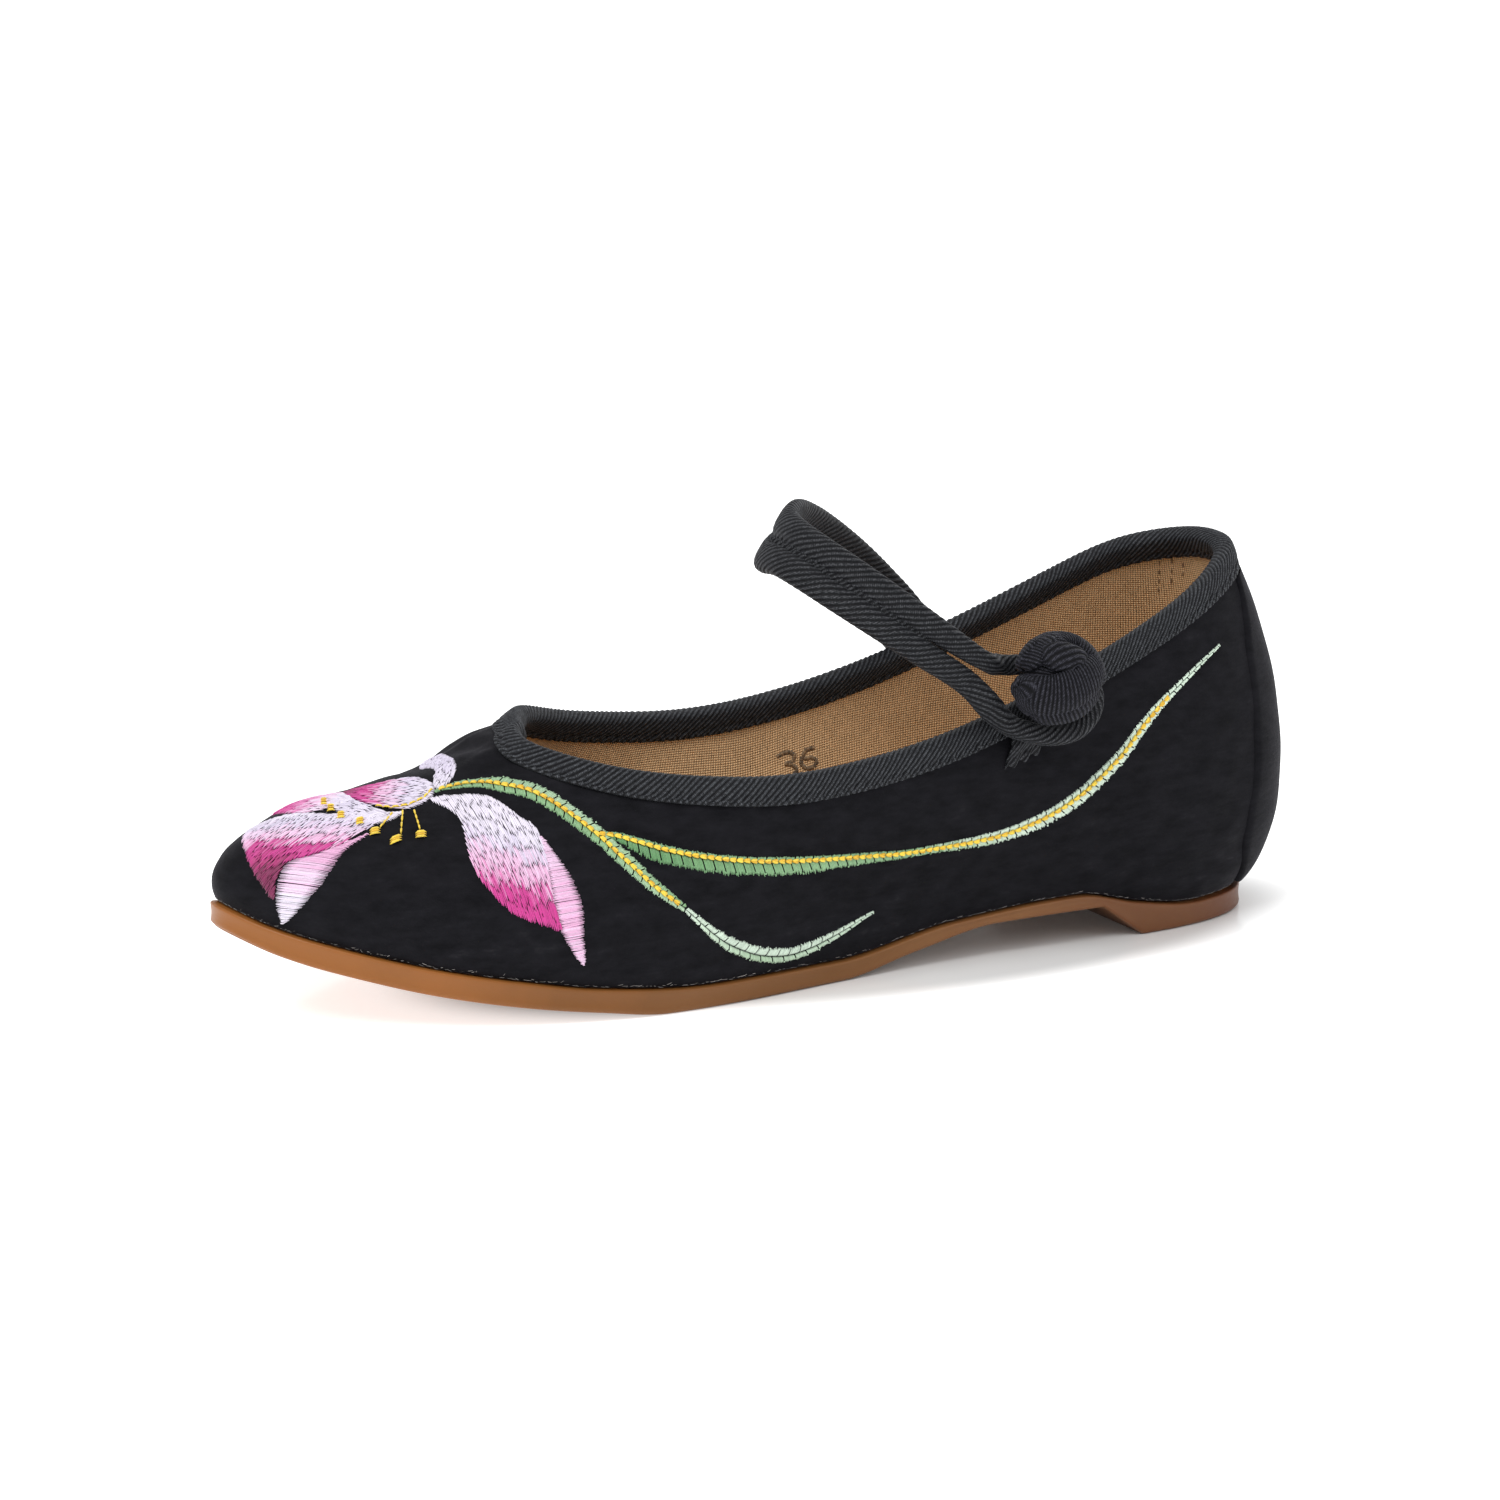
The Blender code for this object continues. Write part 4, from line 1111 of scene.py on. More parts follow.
def cordRoute():
    middle, across = strapLine()
    legs = flow(archWidthRows, 1, np.linspace(0.0, 1.0, len(middle))) * strap["width"]
    apart = (legs[:, None] + shoe["gap"]) / 2
    edge, heelward, up, out = knotFrame()
    centre = edge + up * knot["above"] + out * strap["loopStand"]
    ring = [centre + (heelward * along + up * rise) * knot["radius"] for along, rise, _ in loopRoute]
    upperWidth = legs.copy()
    upperWidth[-2:] *= (0.97, 0.78)
    raised = np.zeros(len(middle))
    raised[-1] = 0.4 * mm
    upperLeg = list(middle + across * (apart + raised[:, None]))
    lowerLeg = list(middle - across * apart)
    route = upperLeg + ring + lowerLeg[::-1]
    facing = list(across) + [out] * len(ring) + list(across[::-1])
    width = list(upperWidth) + [share * strap["width"] for _, _, share in loopRoute] + list(legs[::-1])
    return np.array(route), np.array(facing), np.array(width)


def evenRun(path, step, *carried):
    steps = np.linalg.norm(np.diff(path, axis=0), axis=1)
    run = np.concatenate([[0.0], np.cumsum(steps)])
    places = np.linspace(0.0, run[-1], int(run[-1] / step))
    spread = []
    for values in (path,) + carried:
        columns = [np.interp(places, run, values[:, part]) for part in range(values.shape[1])]
        spread.append(np.stack(columns, -1))
    return places, spread


# Flat cord swept along a path, with ends drawn in; its ribs climb round it,
# pitch is millimetres along the cord and around is how many a turn holds
def sweep(name, path, facing, widths, thick, ribs, step, plump=2.4, pinch=None):
    places, (line, wide, width) = evenRun(path, step, facing, widths[:, None])
    way = np.gradient(line, axis=0)
    way /= np.linalg.norm(way, axis=1, keepdims=True)
    wide = wide - way * (wide * way).sum(1, keepdims=True)
    wide /= np.linalg.norm(wide, axis=1, keepdims=True)
    thin = np.cross(way, wide)
    full = np.linspace(0, 2 * math.pi, ribs["sides"] + 1)[None, :, None]
    angle = full[:, :-1]
    side = np.sign(np.cos(angle)) * np.abs(np.cos(angle)) ** (2 / plump)
    face = np.sign(np.sin(angle)) * np.abs(np.sin(angle)) ** (2 / plump)
    girth = np.stack([side[0, :, 0] * width.mean(), face[0, :, 0] * thick], -1)
    girth = np.linalg.norm(np.diff(girth, axis=0, append=girth[:1]), axis=1)
    turned = (np.concatenate([[0.0], np.cumsum(girth)]) / girth.sum())[None, :, None]
    width = width[:, None]
    wander = 0.10 * np.sin(places / mm * 0.7)[:, None, None]
    phase = places[:, None, None] / mm / ribs["pitch"] + ribs["around"] * turned + wander
    lift = ribWave(phase[:, :-1]) * ribs["depth"]
    taper = np.clip(np.minimum(places, places[-1] - places) / (1.6 * mm), 0.0, 1.0)[:, None, None] ** 0.5
    halfWide = width / 2 + lift
    halfThick = thick / 2 + lift
    if pinch is not None:
        halfThick = halfThick * (1 - pinch(places, side))
    points = line[:, None] + wide[:, None] * side * halfWide * taper
    points = points + thin[:, None] * face * halfThick * taper
    cloth = np.zeros((len(places), ribs["sides"] + 1, 3))
    cloth[..., 0] = places[:, None] / mm
    cloth[..., 1] = width[..., 0] / 2 / mm * np.cos(full[..., 0])
    cloth[..., 2] = phase[..., 0]
    return gridMesh(name, points, False, True, cloth)


def buildStrap():
    route, facing, width = cordRoute()
    path = smoothRoute(route, 12)
    sides = smoothRoute(facing, 12)
    widths = smoothRoute(width[:, None], 12)[:, 0]

    # the seam between the cords draws their inner edges in at each stitch
    def seamPinch(places, side):
        share = places / places[-1]
        legs = np.clip((np.abs(share - 0.5) - 0.17) / 0.02, 0.0, 1.0)[:, None, None]
        inner = np.clip(-side * np.sign(0.5 - share)[:, None, None] * 1.5 - 0.5, 0.0, 1.0)
        pull = 0.5 + 0.5 * np.cos(2 * math.pi * places / mm / strap["seamPitch"])[:, None, None]
        return legs * inner * (0.06 + 0.14 * pull)

    thick = strap["thick"]
    mesh = sweep("strap", path, sides, widths, thick, strap["ribs"], strap["ringStep"], 2.6, seamPinch)
    return addPiece("loop_strap", mesh, cordTwill, "twill_cord", "strap")


# Gathered seam that joins the two cords over the arch
def buildStrapSeam():
    middle, across = strapLine()
    path = smoothRoute(middle[:-1], 12)
    facing = smoothRoute(across[:-1], 12)
    widths = np.full(len(path), strap["seamWidth"])
    ribs = {"pitch": 1.05, "around": 5, "depth": 0.13 * mm, "sides": 28}

    def gather(places, side):
        wave = np.cos(2 * math.pi * places / mm / strap["seamPitch"])
        return (0.16 + 0.12 * wave)[:, None, None] + 0.0 * side

    mesh = sweep("seam", path, facing, widths, strap["seamThick"], ribs, strap["ringStep"], 2.0, gather)
    return addPiece("strap_seam", mesh, cordTwill, "twill_cord")


buildStrap()
buildStrapSeam()
print("strap built")

# Button: strands of the knot wound over a core; each strand's middle line is
# picked in the photo's pixels, with its width, and how deep it lies
ball = {
    "core": 0.80,
    "thick": 3.6 * mm,
    "ribDepth": 0.12 * mm,
    "step": 0.15 * mm,
    "sides": 44,
}
strands = (
    {"picks": ((1056, 652), (1050, 642), (1038, 641), (1026, 648), (1018, 659), (1013, 671)),
     "width": 8.0, "depth": 0.84, "pitch": 0.66, "around": 3},
    {"picks": ((1050, 650), (1058, 641), (1071, 639), (1084, 646), (1093, 657), (1098, 671), (1099, 688)),
     "width": 6.4, "depth": 0.83, "pitch": 0.72, "around": -4},
    {"picks": ((1040, 661), (1052, 657), (1064, 657), (1076, 661), (1082, 669)),
     "width": 6.6, "depth": 0.88, "pitch": 2.2, "around": 11},
    {"picks": ((1007, 680), (1020, 690), (1038, 695), (1058, 694), (1076, 687), (1090, 675), (1100, 658)),
     "width": 8.4, "depth": 0.86, "pitch": 0.78, "around": 4},
    {"picks": ((1010, 698), (1024, 706), (1044, 712), (1064, 711), (1082, 703), (1096, 688)),
     "width": 6.0, "depth": 0.78, "pitch": 0.78, "around": -3},
)


# Place on the flattened ball under a pixel, and the way it faces there
def ballPlace(u, v, depth):
    _, heelward, up, out = knotFrame()
    centre = knotCentre()
    squash = np.array([knot["radius"], knot["radius"], knot["depth"]]) * depth
    axes = np.stack([heelward, up, out])
    start = axes @ (np.array(eye[:]) - centre) / squash
    way = axes @ np.array(pixelRay(u, v)[:]) / squash
    way /= np.linalg.norm(way)
    reach = -np.dot(start, way)
    nearest = start + way * reach
    inside = max(1.0 - np.dot(nearest, nearest), 0.0)
    unit = nearest - way * math.sqrt(inside)
    unit /= np.linalg.norm(unit)
    normal = unit / squash
    return centre + axes.T @ (unit * squash), axes.T @ normal / np.linalg.norm(normal)


def buildKnot():
    _, heelward, up, out = knotFrame()
    centre = knotCentre()
    mirror = np.eye(3) - 2 * np.outer(out, out)
    parts = []
    for strand in strands:
        found = [ballPlace(u, v, strand["depth"]) for u, v in strand["picks"]]
        line = smoothRoute(np.array([place for place, _ in found]), 14)
        normals = smoothRoute(np.array([normal for _, normal in found]), 14)
        facing = np.cross(np.gradient(line, axis=0), normals)
        widths = np.full(len(line), strand["width"] * mm)
        share = np.linspace(0.0, 1.0, len(line))
        widths *= 0.55 + 0.45 * np.sin(math.pi * np.clip(share, 0.05, 0.95)) ** 0.5
        ribs = {"depth": ball["ribDepth"], "sides": ball["sides"]}
        ribs["pitch"] = strand["pitch"]
        ribs["around"] = strand["around"]
        if abs(strand["around"]) > 8:
            ribs["sides"] = 72
        parts.append(sweep("strand", line, facing, widths, ball["thick"], ribs, ball["step"], 2.2))
        behind = (line - centre) @ mirror + centre
        step = ball["step"] * 1.4
        parts.append(sweep("strand", behind, facing @ mirror, widths * 0.9, ball["thick"], ribs, step, 2.2))
    rings = []
    tailFace = knot["stand"] - shoe["tapeWall"] - 3 * shoe["gap"] - 0.8 * mm
    start = math.asin(knot["neckRadius"] / knot["radius"])
    fall = -knot["neckFall"]
    rows = [(-tailFace, fall, knot["neckRadius"] * 0.2), (-tailFace, fall, knot["neckRadius"])]
    rows.append((-(tailFace + knot["depth"]) / 2, -knot["neckFall"] / 2, knot["neckRadius"]))
    coreDepth = knot["depth"] * ball["core"]
    coreRadius = knot["radius"] * ball["core"]
    for angle in np.linspace(start, math.pi - 0.02, 40):
        rows.append((-coreDepth * math.cos(angle), 0.0, coreRadius * math.sin(angle)))
    around = np.linspace(0.0, 2 * math.pi, 72, endpoint=False)[:, None]
    for depth, rise, radius in rows:
        reach = heelward * np.cos(around) + up * np.sin(around)
        rings.append(centre + out * depth + up * rise + reach * radius)
    points = np.array(rings)
    cloth = np.zeros((len(rows), 73, 3))
    cloth[..., 0] = np.linspace(0.0, 40.0, 73)[None, :]
    cloth[..., 1] = np.linspace(0.0, 30.0, len(rows))[:, None]
    cloth[..., 2] = np.linspace(0.0, 60.0, 73)[None, :]
    parts.append(gridMesh("core", points, False, True, cloth, True))
    # the knot takes the darker twill, painted shade
    return addPiece("ball_knot", joinMeshes("knot", parts), knotTwillShaded, "twill_knot", "button_knot")


buildKnot()
print("knot built")

# Tail of the button: the cord's two ends, laid flat and sewn down
tail = {
    "width": 8.5 * mm,
    "drop": 11.4 * mm,
    "slant": 3.0 * mm,
    "wall": 0.8 * mm,
    "rows": 60,
    "columns": 40,
}


def buildTail():
    tape = shoe["tapeWidth"]
    overTape = shoe["tapeWall"] + 2 * shoe["gap"]
    steps = (
        (0.3 * tape, overTape),
        (tape + 0.3 * mm, overTape),
        (tape + 2.3 * mm, 0.3 * mm),
        (tail["drop"], 0.3 * mm))
    depths = np.linspace(steps[0][0], tail["drop"], tail["rows"])
    spread = np.linspace(-0.5, 0.5, tail["columns"])
    outer = []
    inner = []
    for depth in depths:
        offset = np.interp(depth, [step[0] for step in steps], [step[1] for step in steps])
        lean = -tail["slant"] * depth / tail["drop"]
        along = knot["place"] - (lean + spread * tail["width"]) / shoe["length"]
        turns = np.array([station(value, False) for value in along])
        ragged = 0.5 * mm * np.sin(spread * 19) * (depth / tail["drop"]) ** 6
        share = np.array([shareBelowTop(turns[k:k + 1], depth + ragged[k])[0] for k in range(len(turns))])
        pad = 0.35 + 0.65 * np.abs(np.sin(2 * math.pi * spread)) ** 0.5
        fade = min(1.0, (tail["drop"] - depth) / (1.5 * mm)) ** 0.5
        outer.append(skin(turns, share, offset + tail["wall"] * pad * (0.3 + 0.7 * fade)))
        inner.append(skin(turns, share, offset))
    points = np.concatenate([np.array(outer), np.array(inner)[:, ::-1]], axis=1)
    cloth = np.zeros((points.shape[0], points.shape[1] + 1, 3))
    cloth[..., 0] = depths[:, None] / mm
    across = np.concatenate([spread, spread[::-1], spread[:1]]) * tail["width"] / mm
    cloth[..., 1] = across[None, :]
    cloth[..., 2] = cloth[..., 0] / 1.6 + cloth[..., 1] / 1.25
    mesh = gridMesh("tail", points, False, True, cloth, True)
    return addPiece("knot_tail", mesh, cordTwill, "twill_tail", "button_tail")


buildTail()
print("tail built")

# Gum sole with rounded edges, heel and a fine tread
sole = {
    "columns": 600,
    "round": 0.8 * mm,
    "capColumns": 90,
    "rim": 5.0 * mm,
    "groovePitch": 3.2 * mm,
    "grooveDepth": 0.35 * mm,
}


def treadHeight(along):
    foot = shoe["breastFoot"] / shoe["length"]
    top = (shoe["breastFoot"] + shoe["breastSlant"]) / shoe["length"]
    slope = (along - foot) / (top - foot) * undersideHeight(top)
    height = np.where(along <= foot, 0.0, undersideHeight(along))
    return np.where((along > foot) & (along <= top), slope, height)


def soleTurns():
    foot = shoe["breastFoot"] / shoe["length"]
    top = (shoe["breastFoot"] + shoe["breastSlant"]) / shoe["length"]
    even = np.linspace(0.0, 1.0, sole["columns"] // 2 + 1)
    marks = [station(foot, False), station(top, False)]
    for mark in marks:
        even[np.abs(even - mark).argmin()] = mark
    return np.concatenate([even, wholeTurn - even[-2:0:-1]])


def buildSole():
    turns = soleTurns()
    along = alongAt(turns)
    tread = treadHeight(along)
    top = topHeight(along)
    edge = sole["round"]
    rings = []
    for turn in np.linspace(0.0, math.pi / 2, 6):
        plan = outline(turns, edge * (1 - math.sin(turn)))[0]
        rings.append(np.column_stack([plan, tread + edge * (1 - math.cos(turn))]))
    for share in np.linspace(0.0, 1.0, 9)[1:-1]:
        hollow = 0.16 * mm * math.sin(math.pi * share)
        level = tread + edge + (top - edge * 0.6 - tread - edge) * share
        rings.append(np.column_stack([outline(turns, hollow)[0], level]))
    for turn in np.linspace(0.0, math.pi / 2, 5):
        inset = edge * 0.6 * (1 - math.cos(turn))
        rings.append(np.column_stack([outline(turns, inset)[0], top - edge * 0.6 * (1 - math.sin(turn))]))
    rings.append(np.column_stack([outline(turns, 2.6 * mm)[0], top]))
    side = gridMesh("soleSide", np.array(rings), False, True, None, False)

    def treadFace(grid):
        share = (shoe["heelEnd"] - grid[..., 0]) / shoe["length"]
        outerY = grid[:, :1, 1]
        innerY = grid[:, -1:, 1]
        inside = np.minimum(grid[..., 1] - outerY, innerY - grid[..., 1])
        ends = np.minimum(grid[..., 0] - soleLow.x, shoe["heelEnd"] - grid[..., 0])
        seat = np.clip((np.minimum(inside, ends) - sole["rim"]) / (0.4 * mm), 0.0, 1.0)
        front = np.clip((share - 0.42) / 0.01, 0, 1)
        heel = np.clip((shoe["breastFoot"] / shoe["length"] - 0.02 - share) / 0.01, 0, 1)
        wave = grid[..., 0] + 1.6 * mm * np.cos(grid[..., 1] / (7 * mm) * 2 * math.pi)
        groove = np.clip(np.cos(2 * math.pi * wave / sole["groovePitch"]) * 3 - 1.6, 0, 1)
        return treadHeight(share) + groove * seat * np.maximum(front, heel) * sole["grooveDepth"]

    cap = capGrid(rings[0], treadFace, sole["capColumns"])
    under = gridMesh("soleUnder", cap, False, False, None, False)

    def topFace(grid):
        return topHeight((shoe["heelEnd"] - grid[..., 0]) / shoe["length"])

    over = gridMesh("soleOver", capGrid(rings[-1], topFace, 12), False, False, None, True)
    mesh = joinMeshes("sole", (side, under, over))
    welded = bmesh.new()
    welded.from_mesh(mesh)
    bmesh.ops.remove_doubles(welded, verts=welded.verts, dist=0.01 * mm)
    bmesh.ops.recalc_face_normals(welded, faces=welded.faces)
    welded.to_mesh(mesh)
    welded.free()
    mesh.shade_smooth()
    mesh.set_sharp_from_angle(angle=math.radians(50))
    return addPiece("gum_sole", mesh, gumRubber, "gum_rubber", "outsole")


buildSole()
print("sole built")


# Threads: each stitch is a low arched strand laid on the cloth
class Skein:
    def __init__(self):
        self.rings = []
        self.colors = []


def surfaceTree(piece):
    graph = bpy.context.evaluated_depsgraph_get()
    return BVHTree.FromObject(piece, graph)


velvetTree = surfaceTree(velvetUpper)
thread = {
    "rings": 5,
    "sides": 5,
}


def castPixel(u, v, tree=None):
    tree = tree or velvetTree
    hit, normal, _, _ = tree.ray_cast(eye, pixelRay(u, v))
    if hit is None:
        passes = [tree.find_nearest(eye + pixelRay(u, v) * reach) for reach in np.linspace(1.10, 1.50, 81)]
        hit, normal, _, _ = min(passes, key=lambda found: found[3])
    return hit, normal if normal.dot(eyeBack) > -0.2 else -normal


def castPlan(x, y):
    hit, normal, _, _ = velvetTree.ray_cast(Vector((x * mm, y * mm, 0.2)), Vector((0, 0, -1)))
    return hit, normal if normal.z > 0 else -normal


def outward(normal, like):
    return normal if normal.dot(like) > 0 else -normal


# One stitch from start to end: points snapped to the velvet, then raised
def layStitch(skein, start, end, like, width, high, color, tree=None, seat=0.0):
    tree = tree or velvetTree
    count = thread["rings"]
    length = (end - start).length
    if length < 0.15 * mm:
        return
    points = []
    normals = []
    for index in range(count):
        share = index / (count - 1)
        hit, normal, _, _ = tree.find_nearest(start.lerp(end, share))
        if hit is None:
            return
        points.append(hit)
        normals.append(outward(normal, like))
    way = (points[-1] - points[0]).normalized()
    for index in range(count):
        share = index / (count - 1)
        swell = math.sin(math.pi * share)
        thick = 0.30 + 0.70 * min(1.0, swell * 1.8)
        side = normals[index].cross(way).normalized()
        lift = high * (0.12 + 0.88 * min(1.0, swell * 1.6))
        middle = points[index] + normals[index] * (seat + lift - high * 0.4)
        ring = []
        for corner in range(thread["sides"]):
            angle = 2 * math.pi * (corner + 0.25) / thread["sides"]
            across = side * math.cos(angle) * width / 2 * thick
            ring.append(middle + across + normals[index] * math.sin(angle) * high / 2 * thick)
        skein.rings.append(ring)
    skein.colors.append(color)


def skeinMesh(name, skein):
    rings = thread["rings"]
    sides = thread["sides"]
    points = np.array([[corner[:] for corner in ring] for ring in skein.rings], dtype=float)
    count = len(skein.colors)
    points = points.reshape(count * rings * sides, 3)
    faces = []
    for ring in range(rings - 1):
        for side in range(sides):
            after = (side + 1) % sides
            low = ring * sides
            high = low + sides
            faces.append((low + side, low + after, high + after, high + side))
    faces = np.array(faces)
    starts = np.arange(count)[:, None, None] * rings * sides
    quads = (faces[None] + starts).reshape(-1, 4).tolist()
    near = (np.arange(sides)[::-1][None] + starts[:, 0]).tolist()
    far = (np.arange(sides)[None] + (rings - 1) * sides + starts[:, 0]).tolist()
    mesh = bpy.data.meshes.new(name)
    mesh.from_pydata(points.tolist(), [], quads + near + far)
    layer = mesh.attributes.new("thread", "FLOAT_COLOR", "POINT")
    values = np.repeat(np.array([(*color, 1.0) for color in skein.colors]), rings * sides, axis=0)
    layer.data.foreach_set("color", values.astype(np.float32).ravel())
    mesh.shade_smooth()
    return mesh


def linear(red, green, blue):
    values = np.array([red, green, blue]) / 255
    return tuple(np.where(values < 0.04045, values / 12.92, ((values + 0.055) / 1.055) ** 2.4))


dyes = {
    "white": linear(226, 219, 233),
    "lilac": linear(214, 205, 226),
    "blush": linear(232, 200, 226),
    "pink": linear(226, 172, 208),
    "rose": linear(216, 122, 178),
    "magenta": linear(200, 56, 142),
    "wine": linear(176, 44, 116),
    "maroon": linear(124, 34, 80),
    "leaf": linear(132, 172, 126),
    "moss": linear(86, 138, 86),
    "sage": linear(172, 200, 168),
    "mist": linear(206, 224, 206),
    "gold": linear(238, 204, 62),
    "amber": linear(222, 176, 38),
}


def mixDye(stops, share):
    share = min(max(share, 0.0), 1.0)
    places = [stop[0] for stop in stops]
    values = np.array([dyes[stop[1]] for stop in stops])
    return np.array([np.interp(share, places, values[:, part]) for part in range(3)])


def tinted(color, spread):
    return tuple(np.clip(np.asarray(color) * (1 + spread * chance.normal()), 0.0, 1.0))


def insideShape(shape, points):
    x = points[:, 0][:, None]
    y = points[:, 1][:, None]
    x0, y0 = shape.T
    x1, y1 = np.roll(shape, -1, axis=0).T
    crosses = (y0[None] > y) != (y1[None] > y)
    slope = (x1 - x0)[None] * (y - y0[None]) / np.where(y1 == y0, 1e-12, y1 - y0)[None] + x0[None]
    return (crosses & (x < slope)).sum(axis=1) % 2 == 1


def roundOff(points, parts=4):
    count = len(points)
    wrapped = np.vstack([points[-1:], points, points[:2]])
    run = []
    for index in range(1, count + 1):
        for part in range(parts):
            share = part / parts
            before, start, end, after = wrapped[index - 1:index + 3]
            bend = 2 * before - 5 * start + 4 * end - after
            twist = 3 * (start - end) + after - before
            run.append((2 * start + (end - before) * share + bend * share ** 2 + twist * share ** 3) / 2)
    return np.array(run)


def placesOnVelvet(shape):
    found = [castPixel(u, v) for u, v in shape.get("pixels", ())]
    found += [castPlan(x, y) for x, y in shape.get("plan", ())]
    return found


# Fill a shape with threads that run one way: long and short stitches, or
# whole ones from edge to edge where "stitch" is left out
def fillShape(skein, shape):
    found = placesOnVelvet(shape)
    points = np.array([hit[:] for hit, _ in found])
    normal = np.array([normal[:] for _, normal in found]).mean(axis=0)
    normal /= np.linalg.norm(normal)
    ends = placesOnVelvet({"pixels": shape.get("way", ()), "plan": shape.get("planWay", ())})
    way = np.array((ends[1][0] - ends[0][0])[:])
    way -= normal * np.dot(way, normal)
    way /= np.linalg.norm(way)
    side = np.cross(normal, way)
    middle = points.mean(axis=0)
    flat = np.stack([(points - middle) @ way, (points - middle) @ side], -1)
    edge = roundOff(flat)
    shadeEnds = placesOnVelvet({"pixels": shape.get("shade", ()), "plan": shape.get("planShade", ())})
    shadeFrom = np.array(shadeEnds[0][0][:])
    shadeWay = np.array(shadeEnds[1][0][:]) - shadeFrom
    shadeWay /= np.dot(shadeWay, shadeWay)
    lowA, lowB = edge.min(axis=0)
    highA, highB = edge.max(axis=0)
    pitch = shape.get("pitch", 0.34) * mm
    bend = shape.get("bend", 0.0) / (highA - lowA)
    fan = shape.get("fan", 0.0) / (highA - lowA)
    fine = np.arange(lowA, highA, 0.12 * mm)
    high = shape.get("high", 0.26) * mm
    like = Vector(normal)
    spread = (highB - lowB) * 0.5
    for b in np.arange(lowB - spread, highB + spread, pitch):
        line = b * (1 + fan * (fine - lowA)) + bend * (fine - lowA) ** 2
        inside = insideShape(edge, np.stack([fine, line], -1))
        runs = np.flatnonzero(np.diff(np.concatenate([[0], inside.astype(int), [0]])))
        for start, end in zip(runs[::2], runs[1::2] - 1):
            if fine[end] - fine[start] < 0.5 * mm:
                continue
            first = fine[start] + 0.35 * mm * (chance.random() - 0.6)
            cuts = [first, fine[end] + 0.35 * mm * (chance.random() - 0.4)]
            if "stitch" in shape:
                step = shape["stitch"] * mm
                at = cuts[0] + step * (0.25 + 0.75 * chance.random())
                inner = []
                while at < cuts[1] - step * 0.3:
                    inner.append(at)
                    at += step * (0.8 + 0.4 * chance.random())
                cuts = [cuts[0]] + inner + [cuts[1]]
            for first, last in zip(cuts[:-1], cuts[1:]):
                overlap = 0.25 * mm if "stitch" in shape else 0.0
                ab = np.array([first - overlap, last + overlap])
                across = b * (1 + fan * (ab - lowA)) + bend * (ab - lowA) ** 2
                across = across + 0.05 * mm * chance.normal(size=2)
                tips = middle + way * ab[:, None] + side * across[:, None]
                share = float(np.dot((tips.mean(axis=0) - shadeFrom), shadeWay))
                share += shape.get("ragged", 0.06) * chance.normal()
                color = tinted(mixDye(shape["dyes"], share), 0.05)
                seat = shape.get("seat", 0.0) * mm + 0.05 * mm * chance.random()
                width = pitch * (1.06 + 0.12 * chance.random())
                rayed = [velvetTree.ray_cast(Vector(tip + normal * 0.03), -like)[0] for tip in tips]
                if rayed[0] is None or rayed[1] is None:
                    continue
                layStitch(skein, rayed[0], rayed[1], like, width, high, color, seat=seat)


# Stem or leaf: short threads across a line, in two rows, with slots between
# the groups, and a chain of gold down the middle
def stemLine(rows):
    found = [castPixel(u, v) for u, v in ((row[0], row[1]) for row in rows)]
    points = smoothRoute(np.array([hit[:] for hit, _ in found]), 16)
    normals = smoothRoute(np.array([normal[:] for _, normal in found]), 16)
    widths = smoothRoute(np.array([row[2:] for row in rows], dtype=float), 16)
    steps = np.linalg.norm(np.diff(points, axis=0), axis=1)
    return points, normals, widths, np.concatenate([[0.0], np.cumsum(steps)])


def readLine(values, run, at):
    return np.array([np.interp(at, run, values[:, part]) for part in range(values.shape[1])])


def sewStem(skein, stem):
    points, normals, widths, run = stemLine(stem["line"])
    pitch = stem.get("pitch", 0.33) * mm
    group = stem.get("group", 7)
    for row, sign in enumerate((-1.0, 1.0)):
        index = 0
        at = pitch
        while at < run[-1] - pitch:
            index += 1
            middle = Vector(readLine(points, run, at))
            normal = Vector(readLine(normals, run, at)).normalized()
            ahead = Vector(readLine(points, run, min(at + 0.5 * mm, run[-1])))
            behind = Vector(readLine(points, run, max(at - 0.5 * mm, 0.0)))
            way = (ahead - behind).normalized()
            side = way.cross(normal).normalized() * sign
            half = readLine(widths, run, at)[row] * mm * (1 + 0.07 * chance.normal())
            slot = group and (index + row * (group // 2)) % group == 0
            inner = 0.82 * half if slot else 0.02 * half
            lead = way * stem.get("slant", 0.45) * half
            tip = middle + side * half + lead
            start = middle + side * inner + lead * (inner / max(half, 1e-6))
            share = at / run[-1] + 0.02 * chance.normal()
            color = tinted(mixDye(stem["dyes"][row], share), 0.07)
            if half > 0.25 * mm and not (slot and half < 0.9 * mm):
                seat = 0.03 * mm * chance.random()
                layStitch(skein, start, tip, normal, pitch * 1.16, 0.26 * mm, color, seat=seat)
            at += pitch


def sewChain(skein, chain):
    points, normals, _, run = stemLine(chain["line"])
    link = chain.get("link", 1.67) * mm
    wide = chain.get("wide", 1.15) * mm
    at = chain.get("from", 0.0) * run[-1]
    stop = chain.get("to", 1.0) * run[-1]
    while at < stop - link * 0.5:
        first = Vector(readLine(points, run, at))
        last = Vector(readLine(points, run, at + link * 0.98))
        normal = Vector(readLine(normals, run, at)).normalized()
        side = (last - first).normalized().cross(normal).normalized() * wide
        for sign in (1.0, -1.0):
            color = tinted(dyes["gold"] if chance.random() < 0.7 else dyes["amber"], 0.07)
            lean = side * 0.20 * sign
            start = first + lean * 0.3
            end = last + lean * 1.2
            layStitch(skein, start, end, normal, wide * 0.55, 0.42 * mm, color, seat=0.24 * mm)
        at += link


